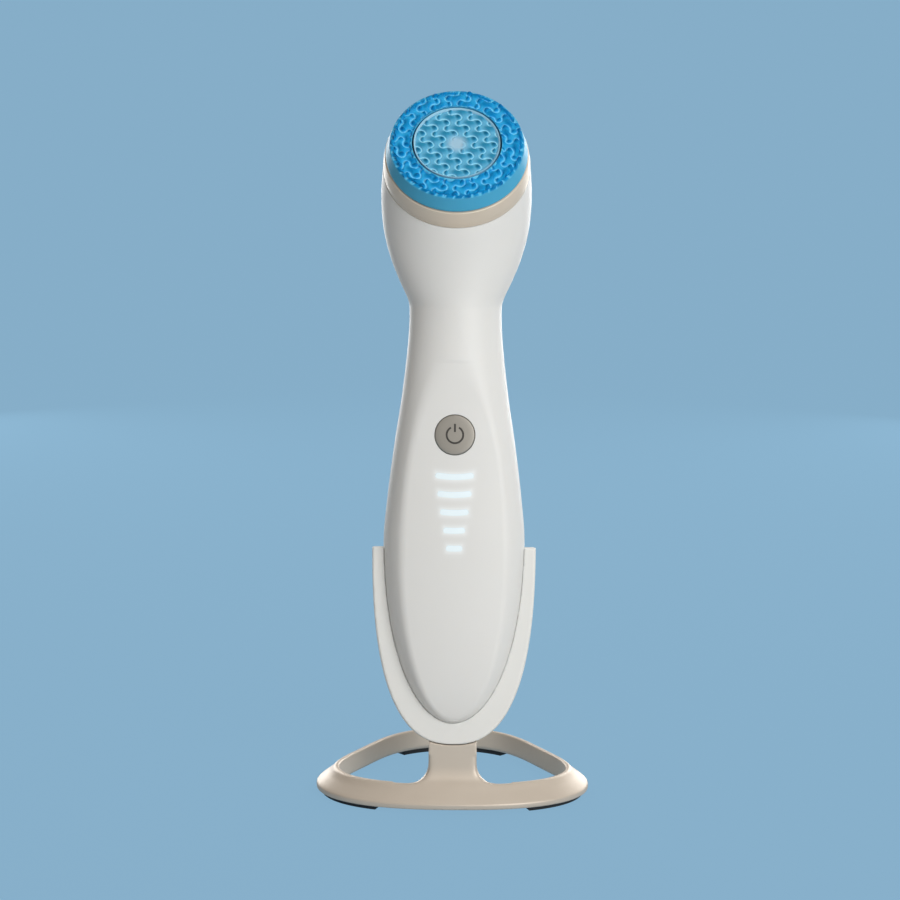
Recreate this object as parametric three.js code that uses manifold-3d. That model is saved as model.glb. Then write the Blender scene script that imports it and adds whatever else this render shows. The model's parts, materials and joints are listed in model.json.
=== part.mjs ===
// A facial cleansing brush resting in its stand: a counter-rotating silicone brush head on a bent
// waterproof handset, held by a moulded cradle on a cast hoop base. Millimetres, +Z up, front towards -Y.
import * as THREE from "three";
import { ParametricGeometry } from "three/addons/geometries/ParametricGeometry.js";
import { mergeVertices } from "three/addons/utils/BufferGeometryUtils.js";
import Module from "manifold-3d";

const wasm = await Module();
wasm.setup();

// ---------------------------------------------------------------- driving dimensions
const gap = 0.3; // between pieces that seat on each other
const lean = THREE.MathUtils.degToRad(10); // handset leans back in its stand

// Handset housing, in the handset's frame: z along the handle, depth forward (towards -Y)
const wall = 2;
const handleZ = 55; // height of the widest section
const handleHalfWidth = 22.4;
const handleDepth = 17;
const endLength = 57.5; // from the widest section down to the rounded end
const seatY = -22.64; // place of the handset's origin, near the rounded end that rests in the cradle
const seatZ = endLength - 29.5;
const endWidthPower = 2.12; // outline of the end seen from the front
const endDepthPower = 3.6; // and from the side, where it is blunt
const chassisDepth = handleDepth - 14;
const partingDepth = chassisDepth - 5; // the front and rear shells meet on this plane
const headTilt = THREE.MathUtils.degToRad(58.5); // brush axis from the handle's axis, towards the front
const headZ = 173.2; // centre of the rim that carries the trim ring
const headDepth = 5.8;
const headRadius = handleHalfWidth + 0.9;

// Flattened oval face on the front of the handle
const ovalZ = 50;
const ovalHalfWidth = handleHalfWidth - 5.8;
const ovalUp = 62;
const ovalDown = 51;
const ovalCrown = 1.2;
const ovalBlend = 0.5;

// Power button and light bars
const buttonZ = 89;
const buttonRadius = 6.45;
const buttonProud = 0.3;
const buttonTravel = 0.5;
const flangeDepth = handleDepth - 7.6; // inner face of the front shell lies just in front of this
const flangeRadius = 7.4;
const flangeThickness = 0.7;
const switchHeight = 1;
const signRadius = 2.6;
const signLine = 0.6;
const stemRadius = 2;
const guideDepth = handleDepth - 8.8;
const guideHalfWidth = 7.4;
const guideThickness = 1.2;
const guideMargin = 2.3; // strip beyond the top and bottom bars
const barHeight = 1.9;
const barBow = 32; // radius that each light bar is bent to
const barPitch = 5.65;
const barTopZ = buttonZ - 12.8;
const barLengths = [12.7, 11.2, 9.4, 7.3, 5.7];

// Inner frame, board and cell
const chassisThickness = 1.2;
const chassisHalfWidth = 10;
const chassisLow = 22;
const chassisHigh = 112;
const boardThickness = 1.2;
const boardHalfWidth = 9;
const boardLow = 46;
const boardHigh = 104;
const cellRadius = handleDepth - 10;
const cellLength = 50;
const cellLow = 24;
const screwRadius = 0.9;
const screwHeadRadius = 1.9;
const bossRadius = 2.3;
const bossPlaces = [
  ["lower_left", -8.6, 36],
  ["lower_right", 8.6, 36],
  ["upper_left", -6.5, 108.2],
  ["upper_right", 6.5, 108.2],
];
const contactRadius = 1.6;
const contactSpacing = 6.4;
const contactHeadDepth = 3.4 - handleDepth;
const contactHead = 2.4; // radius
const contactHeadThickness = 1.2;
const contactZ = 66;

// Brush head, in the head's frame: z along the brush axis from the housing rim
const trimHeight = 7;
const trimTaper = 0.8;
const trimTopRadius = headRadius - trimTaper;
const trimEdge = 0.4;
const trimBore = headRadius - 3.1;
const trimSkirt = headRadius - 2.9; // skirt that plugs into the housing's rim
const trimSkirtWall = 0.7;
const trimSkirtDrop = 1.6;
const sealLedge = 2.3; // ledge inside the trim ring that carries the lip seal
const sealLedgeBore = headRadius - 5.2;
const sealHeight = 2.2;
const brushBase = 7.3;
const brushRadius = headRadius - 1.3;
const brushTop = 13.2;
const ridgeHeight = 1.2;
const ridgeWidth = 0.9;
const splitRadius = headRadius - 9.9; // inner disc's edge
const splitGap = 0.9;
const smoothCentre = 4;
const innerPitch = 4.4;
const innerRow = 2.4;
const outerRows = [[16.2, 18, 0], [18.3, 18, 0.5], [20.4, 18, 0]]; // radius, count and phase of the ridges
const carrierThickness = 1.8;
const skinThickness = 1.1; // silicone over the carriers

// Counter-rotating gear stage
const sunTeeth = 12;
const planetTeeth = 12;
const planetCount = 3;
const ringTeeth = sunTeeth + 2 * planetTeeth;
const hubWall = 2.2;
const hubRadius = headRadius - 5.9;
const hubFlange = headRadius - 4.1;
const gearModule = (hubRadius - hubWall) / (ringTeeth / 2 + 1);
const backlash = 0.22;
const gearLow = -2;
const gearHigh = 2.4;
const shaftRadius = 2.2;
const shaftLow = -15;
const driveSquare = 3;
const plateTop = -2.6;
const plateThickness = 2;
const pinRadius = 1.4;
const plateRadius = headRadius - 4;
const webLow = 3.2;
const webTop = 5.2;
const bushRadius = 3.8;
const squareTop = 9.8;
const innerBossRadius = 3.4;
const lugAngles = [0, (2 * Math.PI) / 3, (4 * Math.PI) / 3];
const lugOrbit = hubRadius - 0.1;
const lugRadius = 1;
const lugTop = 8.8;
const motorRadius = 10;
const motorLength = 13.5;

// Cradle
const cradleTopZ = 53.3;
const cradleHalfWidth = handleHalfWidth + 3.6;
const cradleDepth = handleDepth + 4;
const cradleZ = 57; // widest section
const cradleDrop = endLength + 8.5; // from there down to its lowest point
const cradlePower = 2.6;
const cradleClearance = 0.5;
const cradleRimTopDepth = 3.4; // the rim's plane leans forward towards the bottom
const cradleRimLowDepth = 6.6;
const cradleDip = 12; // how far the back wall dips between the arms

// Hoop base
const hoopRadius = 37.7;
const hoopLobe = 3.5; // three-cornered departure from a circle
const hoopOval = 2; // two-sided one, front to back
const hoopStretch = 1.18; // sideways
const hoopLip = 1.7;
const hoopWidth = 7.6;
const hoopRidge = 1.1; // width of the bar's flat top
const hoopHeight = 6.85;
const hoopY = -hoopLobe;
const footHeight = 1.5;
const footInset = 1.8;
const footWidth = 4.4;
const footSpan = THREE.MathUtils.degToRad(25); // half the arc of each foot
const frontFeet = THREE.MathUtils.degToRad(58); // their place round the hoop, from the front
const neckHalfWidth = 7.6;
const neckFoot = 8.2; // level where the neck flares into the hoop
const neckFillet = 6;
const neckTop = 25;
const cradleScrewX = 4;
const cradleScrewDepth = 1.5;
const cradleScrewRadius = 1.2;
const screwTop = handleZ - endLength - 1.9;
const screwSeat = screwTop - 9;

const beyond = 300; // reach of cutting blocks, past everything

// ---------------------------------------------------------------- materials
const finish = (color, roughness, metalness = 0) => new THREE.MeshStandardMaterial({ color, roughness, metalness });
const whitePlastic = finish(0xe9e7e3, 0.38);
const champagne = finish(0xc6b5a3, 0.36, 0.85);
const blueSilicone = finish(0x1f8fd6, 0.5);
const paleSilicone = finish(0x8fd0e6, 0.5);
const rubber = finish(0x17171a, 0.8);
const steel = finish(0xb9bcc0, 0.3, 1);
const brass = finish(0xc9a24a, 0.3, 1);
const acetal = finish(0xe6e1d2, 0.5);
const darkPlastic = finish(0x3a3d42, 0.6);
const boardGreen = finish(0x1f6b45, 0.55);
const cellWrap = finish(0x2f7f9e, 0.5);
const clearPlastic = finish(0xf6fbff, 0.2);

// ---------------------------------------------------------------- solids
// A closed geometry as a manifold-3d solid, without the zero-area triangles at poles and seams.
function toSolid(geometry) {
  const bare = new THREE.BufferGeometry().setAttribute("position", geometry.getAttribute("position"));
  if (geometry.index) bare.setIndex(geometry.index);
  const merged = mergeVertices(bare, 1e-4);
  const kept = [];
  const all = merged.index.array;
  for (let i = 0; i < all.length; i += 3) {
    const [a, b, c] = [all[i], all[i + 1], all[i + 2]];
    if (a !== b && b !== c && c !== a) kept.push(a, b, c);
  }
  const vertProperties = new Float32Array(merged.attributes.position.array);
  return new wasm.Manifold(new wasm.Mesh({ numProp: 3, vertProperties, triVerts: new Uint32Array(kept) }));
}

function toGeometry(solid) {
  const { vertProperties, triVerts } = solid.getMesh();
  const geometry = new THREE.BufferGeometry();
  geometry.setAttribute("position", new THREE.BufferAttribute(new Float32Array(vertProperties), 3));
  geometry.setIndex(new THREE.BufferAttribute(new Uint32Array(triVerts), 1));
  geometry.computeVertexNormals();
  return geometry;
}

function piece(name, solid, material) {
  const made = new THREE.Mesh(toGeometry(solid), material);
  made.name = name;
  return made;
}

const unite = (...solids) => solids.reduce((a, b) => a.add(b));
const turnedZ = (solid, angle) => solid.rotate([0, 0, THREE.MathUtils.radToDeg(angle)]);

// Revolves a closed profile of [radius, z] pairs about Z.
function revolve(profile, segments = 48) {
  const points = [...profile, profile[0]].map(([r, z]) => new THREE.Vector2(r, z));
  const turned = toSolid(new THREE.LatheGeometry(points, segments).rotateX(Math.PI / 2));
  return turned.volume() < 0 ? revolve([...profile].reverse(), segments) : turned;
}

const tube = (inner, outer, low, high, segments = 48) =>
  revolve([[inner, low], [outer, low], [outer, high], [inner, high]], segments);
const rod = (radius, low, high, segments = 24) => revolve([[0, low], [radius, low], [radius, high], [0, high]], segments);

// A flat outline pushed along +Z from low to high.
function prism(shape, low, high, curveSegments = 8) {
  const made = new THREE.ExtrudeGeometry(shape, { depth: high - low, bevelEnabled: false, curveSegments });
  return toSolid(made.translate(0, 0, low));
}

function box(lowX, highX, lowY, highY, lowZ, highZ) {
  const made = new THREE.BoxGeometry(highX - lowX, highY - lowY, highZ - lowZ);
  return toSolid(made.translate((lowX + highX) / 2, (lowY + highY) / 2, (lowZ + highZ) / 2));
}

// A box in the handset's frame, given by depth (forward) instead of y.
const slab = (halfWidth, lowDepth, highDepth, lowZ, highZ, x = 0) =>
  box(x - halfWidth, x + halfWidth, -highDepth, -lowDepth, lowZ, highZ);

// A rod in the handset's frame that runs forward from lowDepth to highDepth.
const forwardRod = (radius, lowDepth, highDepth, x, z, segments = 24) =>
  rod(radius, lowDepth, highDepth, segments).rotate([90, 0, 0]).translate([x, 0, z]);

// ---------------------------------------------------------------- handset housing
// Sections up the housing: where each meets the front and the back of the side profile, its half-width,
// and its squareness. The last is the circular rim that carries the trim ring.
const rimDrop = headRadius * Math.sin(headTilt);
const rimReach = headRadius * Math.cos(headTilt);
const section = (frontZ, front, backZ, back, half, power) => ({ frontZ, front, backZ, back, half, power });
const frontRim = { z: headZ - rimDrop, depth: headDepth + rimReach };
const backRim = { z: headZ + rimDrop, depth: headDepth - rimReach };
// A section of the head's dome, placed from the rim's front and back.
const domeSection = (frontDrop, frontBack, backDrop, backBack, spread) =>
  section(frontRim.z - frontDrop, frontRim.depth - frontBack, backRim.z - backDrop, backRim.depth - backBack, headRadius + spread, 2);
const sections = [
  section(handleZ, handleDepth, handleZ, -handleDepth, handleHalfWidth, 2.2),
  section(70, handleDepth - 0.1, 70, 0.4 - handleDepth, handleHalfWidth - 1.2, 2.2),
  section(86, handleDepth - 1, 86, 1.4 - handleDepth, handleHalfWidth - 3.2, 2.2),
  section(100, handleDepth - 2.7, 100, 2.7 - handleDepth, handleHalfWidth - 5.3, 2.2),
  section(112, handleDepth - 4.1, 113, 3.7 - handleDepth, handleHalfWidth - 6.8, 2.15),
  section(120.5, handleDepth - 4.65, 123.5, 4 - handleDepth, handleHalfWidth - 7.6, 2.1),
  section(127, handleDepth - 4.6, 132, 3.2 - handleDepth, handleHalfWidth - 7.7, 2.05),
  domeSection(23.3, 5.4, 57.1, 8.3, -7.8),
  domeSection(19.3, 4.9, 50.6, 10, -5.4),
  domeSection(14.5, 4, 41.1, 12.1, -2.6),
  domeSection(9.8, 2.9, 30.1, 12.9, -0.5),
  domeSection(5.6, 1.7, 19.1, 11.4, 0.45),
  domeSection(2.4, 0.7, 9.1, 7, 0.55),
  domeSection(0, 0, 0, 0, 0),
];

// Catmull-Rom through four values.
function through(a, b, c, d, t) {
  return 0.5 * (2 * b + (c - a) * t + (2 * a - 5 * b + 4 * c - d) * t * t + (3 * b - a - 3 * c + d) * t * t * t);
}

// The section below the widest one, mirrored from the one above so the profile leaves it straight up.
function mirrored({ frontZ, front, backZ, back, half, power }) {
  return section(2 * handleZ - frontZ, front, 2 * handleZ - backZ, back, half, power);
}

// A section of the rounded end, from -1 (lowest) to 0 (widest), for a skin drawn in by inset.
function endSection(place, inset) {
  const drop = Math.sin((-place * Math.PI) / 2);
  const z = handleZ - (endLength - inset) * drop;
  const narrow = (1 - drop ** endWidthPower) ** (1 / endWidthPower);
  const reach = (handleDepth - inset) * (1 - drop ** endDepthPower) ** (1 / endDepthPower) + inset;
  const half = (handleHalfWidth - inset) * narrow + inset;
  return section(z, reach, z, -reach, half, sections[0].power);
}

// The section at a place from -1 (rounded end) through 0 (widest) to 1 (head rim).
function sectionAt(place, inset) {
  if (place < 0) return endSection(place, inset);
  const last = sections.length - 1;
  const index = Math.min(Math.floor(place * last), last - 1);
  const t = place * last - index;
  const [from, to] = [sections[index], sections[index + 1]];
  const before = index === 0 ? mirrored(to) : sections[index - 1];
  const after = sections[Math.min(index + 2, last)];
  const made = {};
  for (const key of Object.keys(from)) made[key] = through(before[key], from[key], to[key], after[key], t);
  return made;
}

// Square of the oval face's half-width at a height, negative beyond its ends.
function ovalSquare(z) {
  const share = (z - ovalZ) / (z > ovalZ ? ovalUp : ovalDown);
  return ovalHalfWidth ** 2 * (1 - share ** 2);
}

function softMin(a, b, blend) {
  if (blend <= 0) return Math.min(a, b);
  const near = Math.max(blend - Math.abs(a - b), 0) / blend;
  return Math.min(a, b) - (blend / 4) * near ** 2;
}

// How far a section's front reaches at x: a superellipse, flattened inside the oval face.
function frontReach(x, z, reach, half, power) {
  const round = reach * Math.max(1 - (Math.abs(x) / half) ** power, 0) ** (1 / power);
  const square = ovalSquare(z);
  const share = square / half ** 2;
  const edge = 1 - Math.sign(share) * Math.abs(share) ** (power / 2);
  const flat = reach * Math.max(edge, 0) ** (1 / power) + (ovalCrown / ovalHalfWidth ** 2) * (square - x ** 2);
  return square > 0 ? softMin(round, flat, Math.min(ovalBlend, reach / 8)) : round;
}

// A point of the housing's skin, drawn in by inset. Turn runs round the section from its left side.
function housingPoint(place, turn, inset, target) {
  const { frontZ, front, backZ, back, half, power } = sectionAt(place, inset);
  const span = Math.hypot(frontZ - backZ, front - back) || 1; // nothing at the very end
  const reach = Math.max(span / 2 - inset, 0);
  const side = Math.max(half - inset, 0);
  const [c, s] = [Math.cos(turn), Math.sin(turn)];
  const x = side * Math.sign(c) * Math.abs(c) ** (2 / power);
  let along = reach * Math.sign(s) * Math.abs(s) ** (2 / power);
  if (s > 1e-9 && side > 0 && reach > 0) along = frontReach(x, frontZ, reach, side, power);
  const depth = (front + back) / 2 + (along * (front - back)) / span;
  return target.set(x, -depth, (frontZ + backZ) / 2 + (along * (frontZ - backZ)) / span);
}

// The housing's skin as a closed solid in the handset's frame; past is how far it runs on beyond the rim.
function housing(inset, around, up, past = 0) {
  const onwards = new THREE.Vector3(0, -Math.sin(headTilt), Math.cos(headTilt)).multiplyScalar(past);
  const endRings = Math.round(up * 0.42);
  const rings = up + (past ? 2 : 1);
  const skin = (u, v, target) => {
    const ring = Math.round(v * rings);
    if (ring === rings) return target.set(0, -headDepth, headZ).add(onwards);
    const place = ring < endRings ? -((1 - ring / endRings) ** 0.7) : Math.min((ring - endRings) / (up - endRings), 1);
    housingPoint(place, -u * 2 * Math.PI, inset, target);
    return ring > up ? target.add(onwards) : target;
  };
  return toSolid(new ParametricGeometry(skin, around, rings));
}

// Moves a solid from the head's frame into the handset's, and from there into the world.
const fromHead = (solid) => solid.rotate([THREE.MathUtils.radToDeg(headTilt), 0, 0]).translate([0, -headDepth, headZ]);
const toWorld = (solid) => solid.rotate([-THREE.MathUtils.radToDeg(lean), 0, 0]).translate([0, seatY, seatZ]);
const headPiece = (name, solid, material) => piece(name, toWorld(fromHead(solid)), material);
const handsetPiece = (name, solid, material) => piece(name, toWorld(solid), material);

// ---------------------------------------------------------------- outlines
// A side-view outline of [depth, z] pairs pushed sideways to both sides of the middle plane.
function sideways(points, halfWidth) {
  const shape = new THREE.Shape(points.map(([depth, z]) => new THREE.Vector2(depth, z)));
  const made = new THREE.ExtrudeGeometry(shape, { depth: 2 * halfWidth, bevelEnabled: false, curveSegments: 8 });
  made.translate(0, 0, -halfWidth);
  const toSide = new THREE.Matrix4().makeBasis(
    new THREE.Vector3(0, -1, 0),
    new THREE.Vector3(0, 0, 1),
    new THREE.Vector3(-1, 0, 0),
  );
  return toSolid(made.applyMatrix4(toSide));
}

// A front-view shape in x and z pushed forward from lowDepth to highDepth.
const forward = (shape, lowDepth, highDepth, segments = 8) =>
  prism(shape, lowDepth, highDepth, segments).rotate([90, 0, 0]);

// A band that follows the arc of a circle from one angle to another.
function arcBand(x, y, inner, outer, from, to) {
  const shape = new THREE.Shape();
  shape.absarc(x, y, outer, from, to, false);
  shape.absarc(x, y, inner, to, from, true);
  return shape;
}

// Involute gear outline between a root and a tip radius; thin narrows each tooth for backlash.
function gearShape(teeth, root, tip, thin) {
  const pitch = (gearModule * teeth) / 2;
  const base = pitch * Math.cos(Math.PI / 9);
  const involute = (radius) => {
    const angle = Math.acos(Math.min(base / radius, 1));
    return Math.tan(angle) - angle;
  };
  const halfTooth = (radius) => Math.PI / (2 * teeth) - thin / (2 * pitch) + involute(pitch) - involute(radius);
  const points = [];
  for (let tooth = 0; tooth < teeth; tooth++) {
    const centre = (tooth * 2 * Math.PI) / teeth;
    const flank = [root, pitch, tip];
    for (const radius of flank) points.push([radius, centre - halfTooth(radius)]);
    for (const radius of flank.reverse()) points.push([radius, centre + halfTooth(radius)]);
  }
  return new THREE.Shape(points.map(([r, angle]) => new THREE.Vector2(r * Math.cos(angle), r * Math.sin(angle))));
}

// ---------------------------------------------------------------- handset shells
const skin = housing(0, 36, 32);
const cavity = housing(wall, 24, 20, 6);
const shell = skin.subtract(cavity);
const screwTipDepth = chassisDepth + 5.6;
const holeDepth = 5; // holes in the front shell are cut from here forward
const outside = handleDepth + 4;
const boardFloor = chassisDepth + chassisThickness + gap;
const stemDepth = boardFloor + boardThickness + gap + switchHeight + gap + buttonTravel;

function barShape(index, grow) {
  const z = barTopZ - index * barPitch;
  const half = (barLengths[index] / 2 + grow) / barBow;
  const [inner, outer] = [barBow - barHeight / 2 - grow, barBow + barHeight / 2 + grow];
  return arcBand(0, z + barBow, inner, outer, -Math.PI / 2 - half, -Math.PI / 2 + half);
}

const bars = (lowDepth, grow) =>
  unite(...barLengths.map((_, index) => forward(barShape(index, grow), lowDepth, outside, 6)));

function frontShell() {
  const bosses = bossPlaces.map(([, x, z]) => forwardRod(bossRadius, boardFloor, handleDepth, x, z, 14));
  const bores = bossPlaces.map(([, x, z]) => forwardRod(screwRadius + gap, chassisDepth, screwTipDepth + gap, x, z, 16));
  const half = shell.subtract(slab(beyond, -beyond, partingDepth + gap / 2, -beyond, beyond));
  const posts = unite(...bosses).intersect(skin);
  const buttonHole = forwardRod(buttonRadius + gap, holeDepth, outside, 0, buttonZ, 36);
  return half.add(posts).subtract(unite(...bores)).subtract(buttonHole).subtract(bars(holeDepth, gap));
}

function rearShell() {
  const half = shell.intersect(slab(beyond, -beyond, partingDepth - gap / 2, -beyond, beyond));
  const holes = [-1, 1].map((side) => rearwardHole(side));
  return half.subtract(unite(...holes));
}

const rearwardHole = (side) => forwardRod(contactRadius + gap, -outside, contactHeadDepth + 1, (side * contactSpacing) / 2, contactZ, 24);

// Charging studs set flush in the back of the handle, with heads inside.
function contactStud(side) {
  const x = (side * contactSpacing) / 2;
  const head = forwardRod(contactHead, contactHeadDepth, contactHeadDepth + contactHeadThickness, x, contactZ, 20);
  return forwardRod(contactRadius, -outside, contactHeadDepth + 0.6, x, contactZ, 20).intersect(skin).add(head);
}

function trimRing() {
  return revolve(
    [
      [trimSkirt - trimSkirtWall, -trimSkirtDrop],
      [trimSkirt, -trimSkirtDrop],
      [trimSkirt, gap],
      [headRadius - trimEdge, gap],
      [headRadius - 0.05, gap + trimEdge],
      [trimTopRadius, trimHeight - trimEdge],
      [trimTopRadius - trimEdge, trimHeight],
      [trimBore, trimHeight],
      [trimBore, sealLedge],
      [sealLedgeBore, sealLedge],
      [sealLedgeBore, gap],
      [trimSkirt - trimSkirtWall, gap],
    ],
    40,
  );
}

// ---------------------------------------------------------------- handset inner parts
const chassis = () =>
  slab(chassisHalfWidth, chassisDepth, chassisDepth + chassisThickness, chassisLow, chassisHigh).subtract(
    unite(...bossPlaces.map(([, x, z]) => forwardRod(screwRadius + gap, chassisDepth - 1, screwTipDepth, x, z, 16))),
  );

function shellScrew(x, z) {
  const head = forwardRod(screwHeadRadius, chassisDepth - gap - 1.4, chassisDepth - gap, x, z, 16);
  const shank = forwardRod(screwRadius, chassisDepth - gap - 0.2, screwTipDepth, x, z, 16);
  const slot = slab(screwHeadRadius + 1, chassisDepth - gap - 2, chassisDepth - gap - 0.9, z - 0.25, z + 0.25, x);
  return head.add(shank).subtract(slot);
}

const circuitBoard = () => slab(boardHalfWidth, boardFloor, boardFloor + boardThickness, boardLow, boardHigh);

function batteryCell() {
  const body = rod(cellRadius, cellLow, cellLow + cellLength, 36);
  const button = rod(2.6, cellLow + cellLength - 0.1, cellLow + cellLength + 1.2, 20);
  return body.add(button).translate([0, -(chassisDepth - gap - cellRadius), 0]);
}

function switchDome() {
  const floor = boardFloor + boardThickness + gap;
  const dome = revolve([[0, 0], [3, 0], [3, 0.3], [2.4, 0.7], [1.2, switchHeight], [0, switchHeight]], 24);
  return dome.rotate([90, 0, 0]).translate([0, -floor, buttonZ]);
}

// The standard power sign: a broken ring with an upright bar.
function powerSign() {
  const ring = arcBand(0, buttonZ, signRadius - signLine / 2, signRadius + signLine / 2, Math.PI * 0.66, Math.PI * 2.34);
  const bar = slab(signLine / 2, holeDepth, outside, buttonZ + signRadius * 0.35, buttonZ + signRadius * 1.35);
  return forward(ring, holeDepth, outside, 18).add(bar);
}

function powerButton() {
  const cap = forwardRod(buttonRadius, flangeDepth, outside, 0, buttonZ, 36).intersect(housing(-buttonProud, 36, 32));
  const flange = forwardRod(flangeRadius, flangeDepth - flangeThickness, flangeDepth, 0, buttonZ, 36);
  const stem = forwardRod(stemRadius, stemDepth, flangeDepth, 0, buttonZ, 24);
  const engraved = powerSign().subtract(skin);
  return unite(cap, flange, stem).subtract(engraved);
}

// Five light bars on one backing strip behind the front shell.
function lightGuide() {
  const low = barTopZ - (barLengths.length - 1) * barPitch - guideMargin;
  const strip = slab(guideHalfWidth, guideDepth, guideDepth + guideThickness, low, barTopZ + guideMargin);
  return bars(guideDepth, 0).intersect(skin).add(strip);
}

// ---------------------------------------------------------------- brush head and its gear stage
const sunPitch = (gearModule * sunTeeth) / 2;
const planetPitch = (gearModule * planetTeeth) / 2;
const ringPitch = (gearModule * ringTeeth) / 2;
const orbit = sunPitch + planetPitch;
const planetAngles = Array.from({ length: planetCount }, (_, i) => Math.PI / 2 + (i * 2 * Math.PI) / planetCount);
const externalGear = (teeth, low, high) => {
  const pitch = (gearModule * teeth) / 2;
  return prism(gearShape(teeth, pitch - 1.2 * gearModule, pitch + 0.92 * gearModule, backlash), low, high);
};

// Outer drive: internal ring gear, closing web, retaining flange and three drive lugs.
function outerHub() {
  const cup = rod(hubRadius, gearLow, webTop, 36);
  const flange = rod(hubFlange, gearLow, -0.2, 36);
  const spaces = gearShape(ringTeeth, ringPitch - 0.85 * gearModule, ringPitch + 1.2 * gearModule, -backlash);
  const toothed = prism(spaces, gearLow - 1, webLow);
  const lugs = lugAngles.map((angle) => turnedZ(rod(lugRadius, webTop - 0.5, lugTop, 20).translate([lugOrbit, 0, 0]), angle));
  const bore = rod(bushRadius + gap, webLow - 1, webTop + 1, 32);
  // A space between teeth lies half a tooth away from every planet's direction.
  const turned = turnedZ(toothed, planetAngles[0] + Math.PI / ringTeeth);
  return unite(cup, flange, ...lugs).subtract(turned).subtract(bore);
}

// Inner drive: sun gear on the motor's spindle, with a square end for the inner disc.
function spindle() {
  const sun = turnedZ(externalGear(sunTeeth, gearLow, gearHigh), planetAngles[0]);
  const shaft = rod(shaftRadius, shaftLow, webTop + 0.5, 28);
  const half = driveSquare / 2;
  return unite(sun, shaft, box(-half, half, -half, half, webTop, squareTop));
}

function planetGear(angle) {
  const gear = turnedZ(externalGear(planetTeeth, gearLow + 0.1, gearHigh), angle + Math.PI / planetTeeth);
  const bored = gear.subtract(rod(pinRadius + gap, gearLow - 1, gearHigh + 1, 20));
  return bored.translate([orbit * Math.cos(angle), orbit * Math.sin(angle), 0]);
}

const planetPin = (angle) =>
  rod(pinRadius, plateTop - plateThickness + 0.2, gearHigh + 0.4, 20).translate([
    orbit * Math.cos(angle),
    orbit * Math.sin(angle),
    0,
  ]);

function gearPlate() {
  const plate = tube(shaftRadius + gap, plateRadius, plateTop - plateThickness, plateTop, 36);
  const bores = planetAngles.map((angle) =>
    rod(pinRadius + gap, -10, 0, 20).translate([orbit * Math.cos(angle), orbit * Math.sin(angle), 0]),
  );
  return plate.subtract(unite(...bores));
}

function motor() {
  const top = plateTop - plateThickness - gap;
  const body = revolve(
    [[0, top - motorLength], [motorRadius - 1, top - motorLength], [motorRadius, top - motorLength + 1], [motorRadius, top], [0, top]],
    40,
  );
  return body.subtract(rod(shaftRadius + gap, shaftLow - gap, 0, 24));
}

const spindleBush = () => tube(shaftRadius + gap, bushRadius, webLow, webTop, 32);

// Ring of rubber on the trim's ledge, whose lip runs just clear of the hub.
function lipSeal() {
  const outer = trimBore - gap;
  const inner = sealLedgeBore + gap;
  const lip = inner - 0.45;
  const low = sealLedge + gap;
  const top = low + sealHeight;
  return revolve([[inner, low], [outer, low], [outer, top], [outer - 1, top], [lip, top - 0.6], [lip, low + 1], [inner, low + 1]], 24);
}

// An S-shaped ridge that stands up through the cap's face.
function ridge(length, bow) {
  const steps = 3;
  const line = Array.from({ length: steps + 1 }, (_, i) => {
    const t = (2 * i) / steps - 1;
    return new THREE.Vector2((t * length) / 2, bow * Math.sin(Math.PI * t * 0.62));
  });
  const edge = (side) =>
    line.map((point, i) => {
      const along = line[Math.min(i + 1, steps)].clone().sub(line[Math.max(i - 1, 0)]).normalize();
      return new THREE.Vector2(point.x - side * along.y, point.y + side * along.x);
    });
  const outline = [...edge(-ridgeWidth / 2), ...edge(ridgeWidth / 2).reverse()];
  return prism(new THREE.Shape(outline), brushTop - 2, brushTop + ridgeHeight);
}

const carrierLow = brushBase + gap;
const carrierHigh = carrierLow + carrierThickness;
const outerBore = splitRadius + splitGap;

function outerCap() {
  const cap = revolve(
    [
      [outerBore, brushBase],
      [brushRadius, brushBase],
      [brushRadius, brushTop - 2.6],
      [brushRadius - 0.45, brushTop - 1.2],
      [brushRadius - 1.3, brushTop - 0.35],
      [brushRadius - 2.4, brushTop],
      [outerBore + 0.5, brushTop],
      [outerBore, brushTop - 0.5],
    ],
    48,
  );
  const recess = tube(outerBore + skinThickness, brushRadius - skinThickness, brushBase - 1, carrierHigh + gap, 32);
  const ridges = outerRows.flatMap(([radius, count, phase]) =>
    Array.from({ length: count }, (_, i) =>
      turnedZ(ridge(4.4, 0.75).rotate([0, 0, 38]).translate([radius, 0, 0]), ((i + phase) * 2 * Math.PI) / count),
    ),
  );
  // The ridges' tops follow the cap's shoulder.
  const reach = revolve(
    [
      [outerBore + 0.2, brushTop - 1],
      [brushRadius - 0.1, brushTop - 1],
      [brushRadius - 0.3, brushTop + ridgeHeight * 0.3],
      [brushRadius - 2, brushTop + ridgeHeight],
      [outerBore + 0.2, brushTop + ridgeHeight],
    ],
    36,
  );
  return cap.subtract(recess).add(unite(...ridges).intersect(reach));
}

function outerCarrier() {
  const ring = tube(outerBore + skinThickness + gap, brushRadius - skinThickness - gap, carrierLow, carrierHigh, 32);
  const sockets = lugAngles.map((angle) => turnedZ(rod(lugRadius + gap, 0, 20, 20).translate([lugOrbit, 0, 0]), angle));
  return ring.subtract(unite(...sockets));
}

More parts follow.
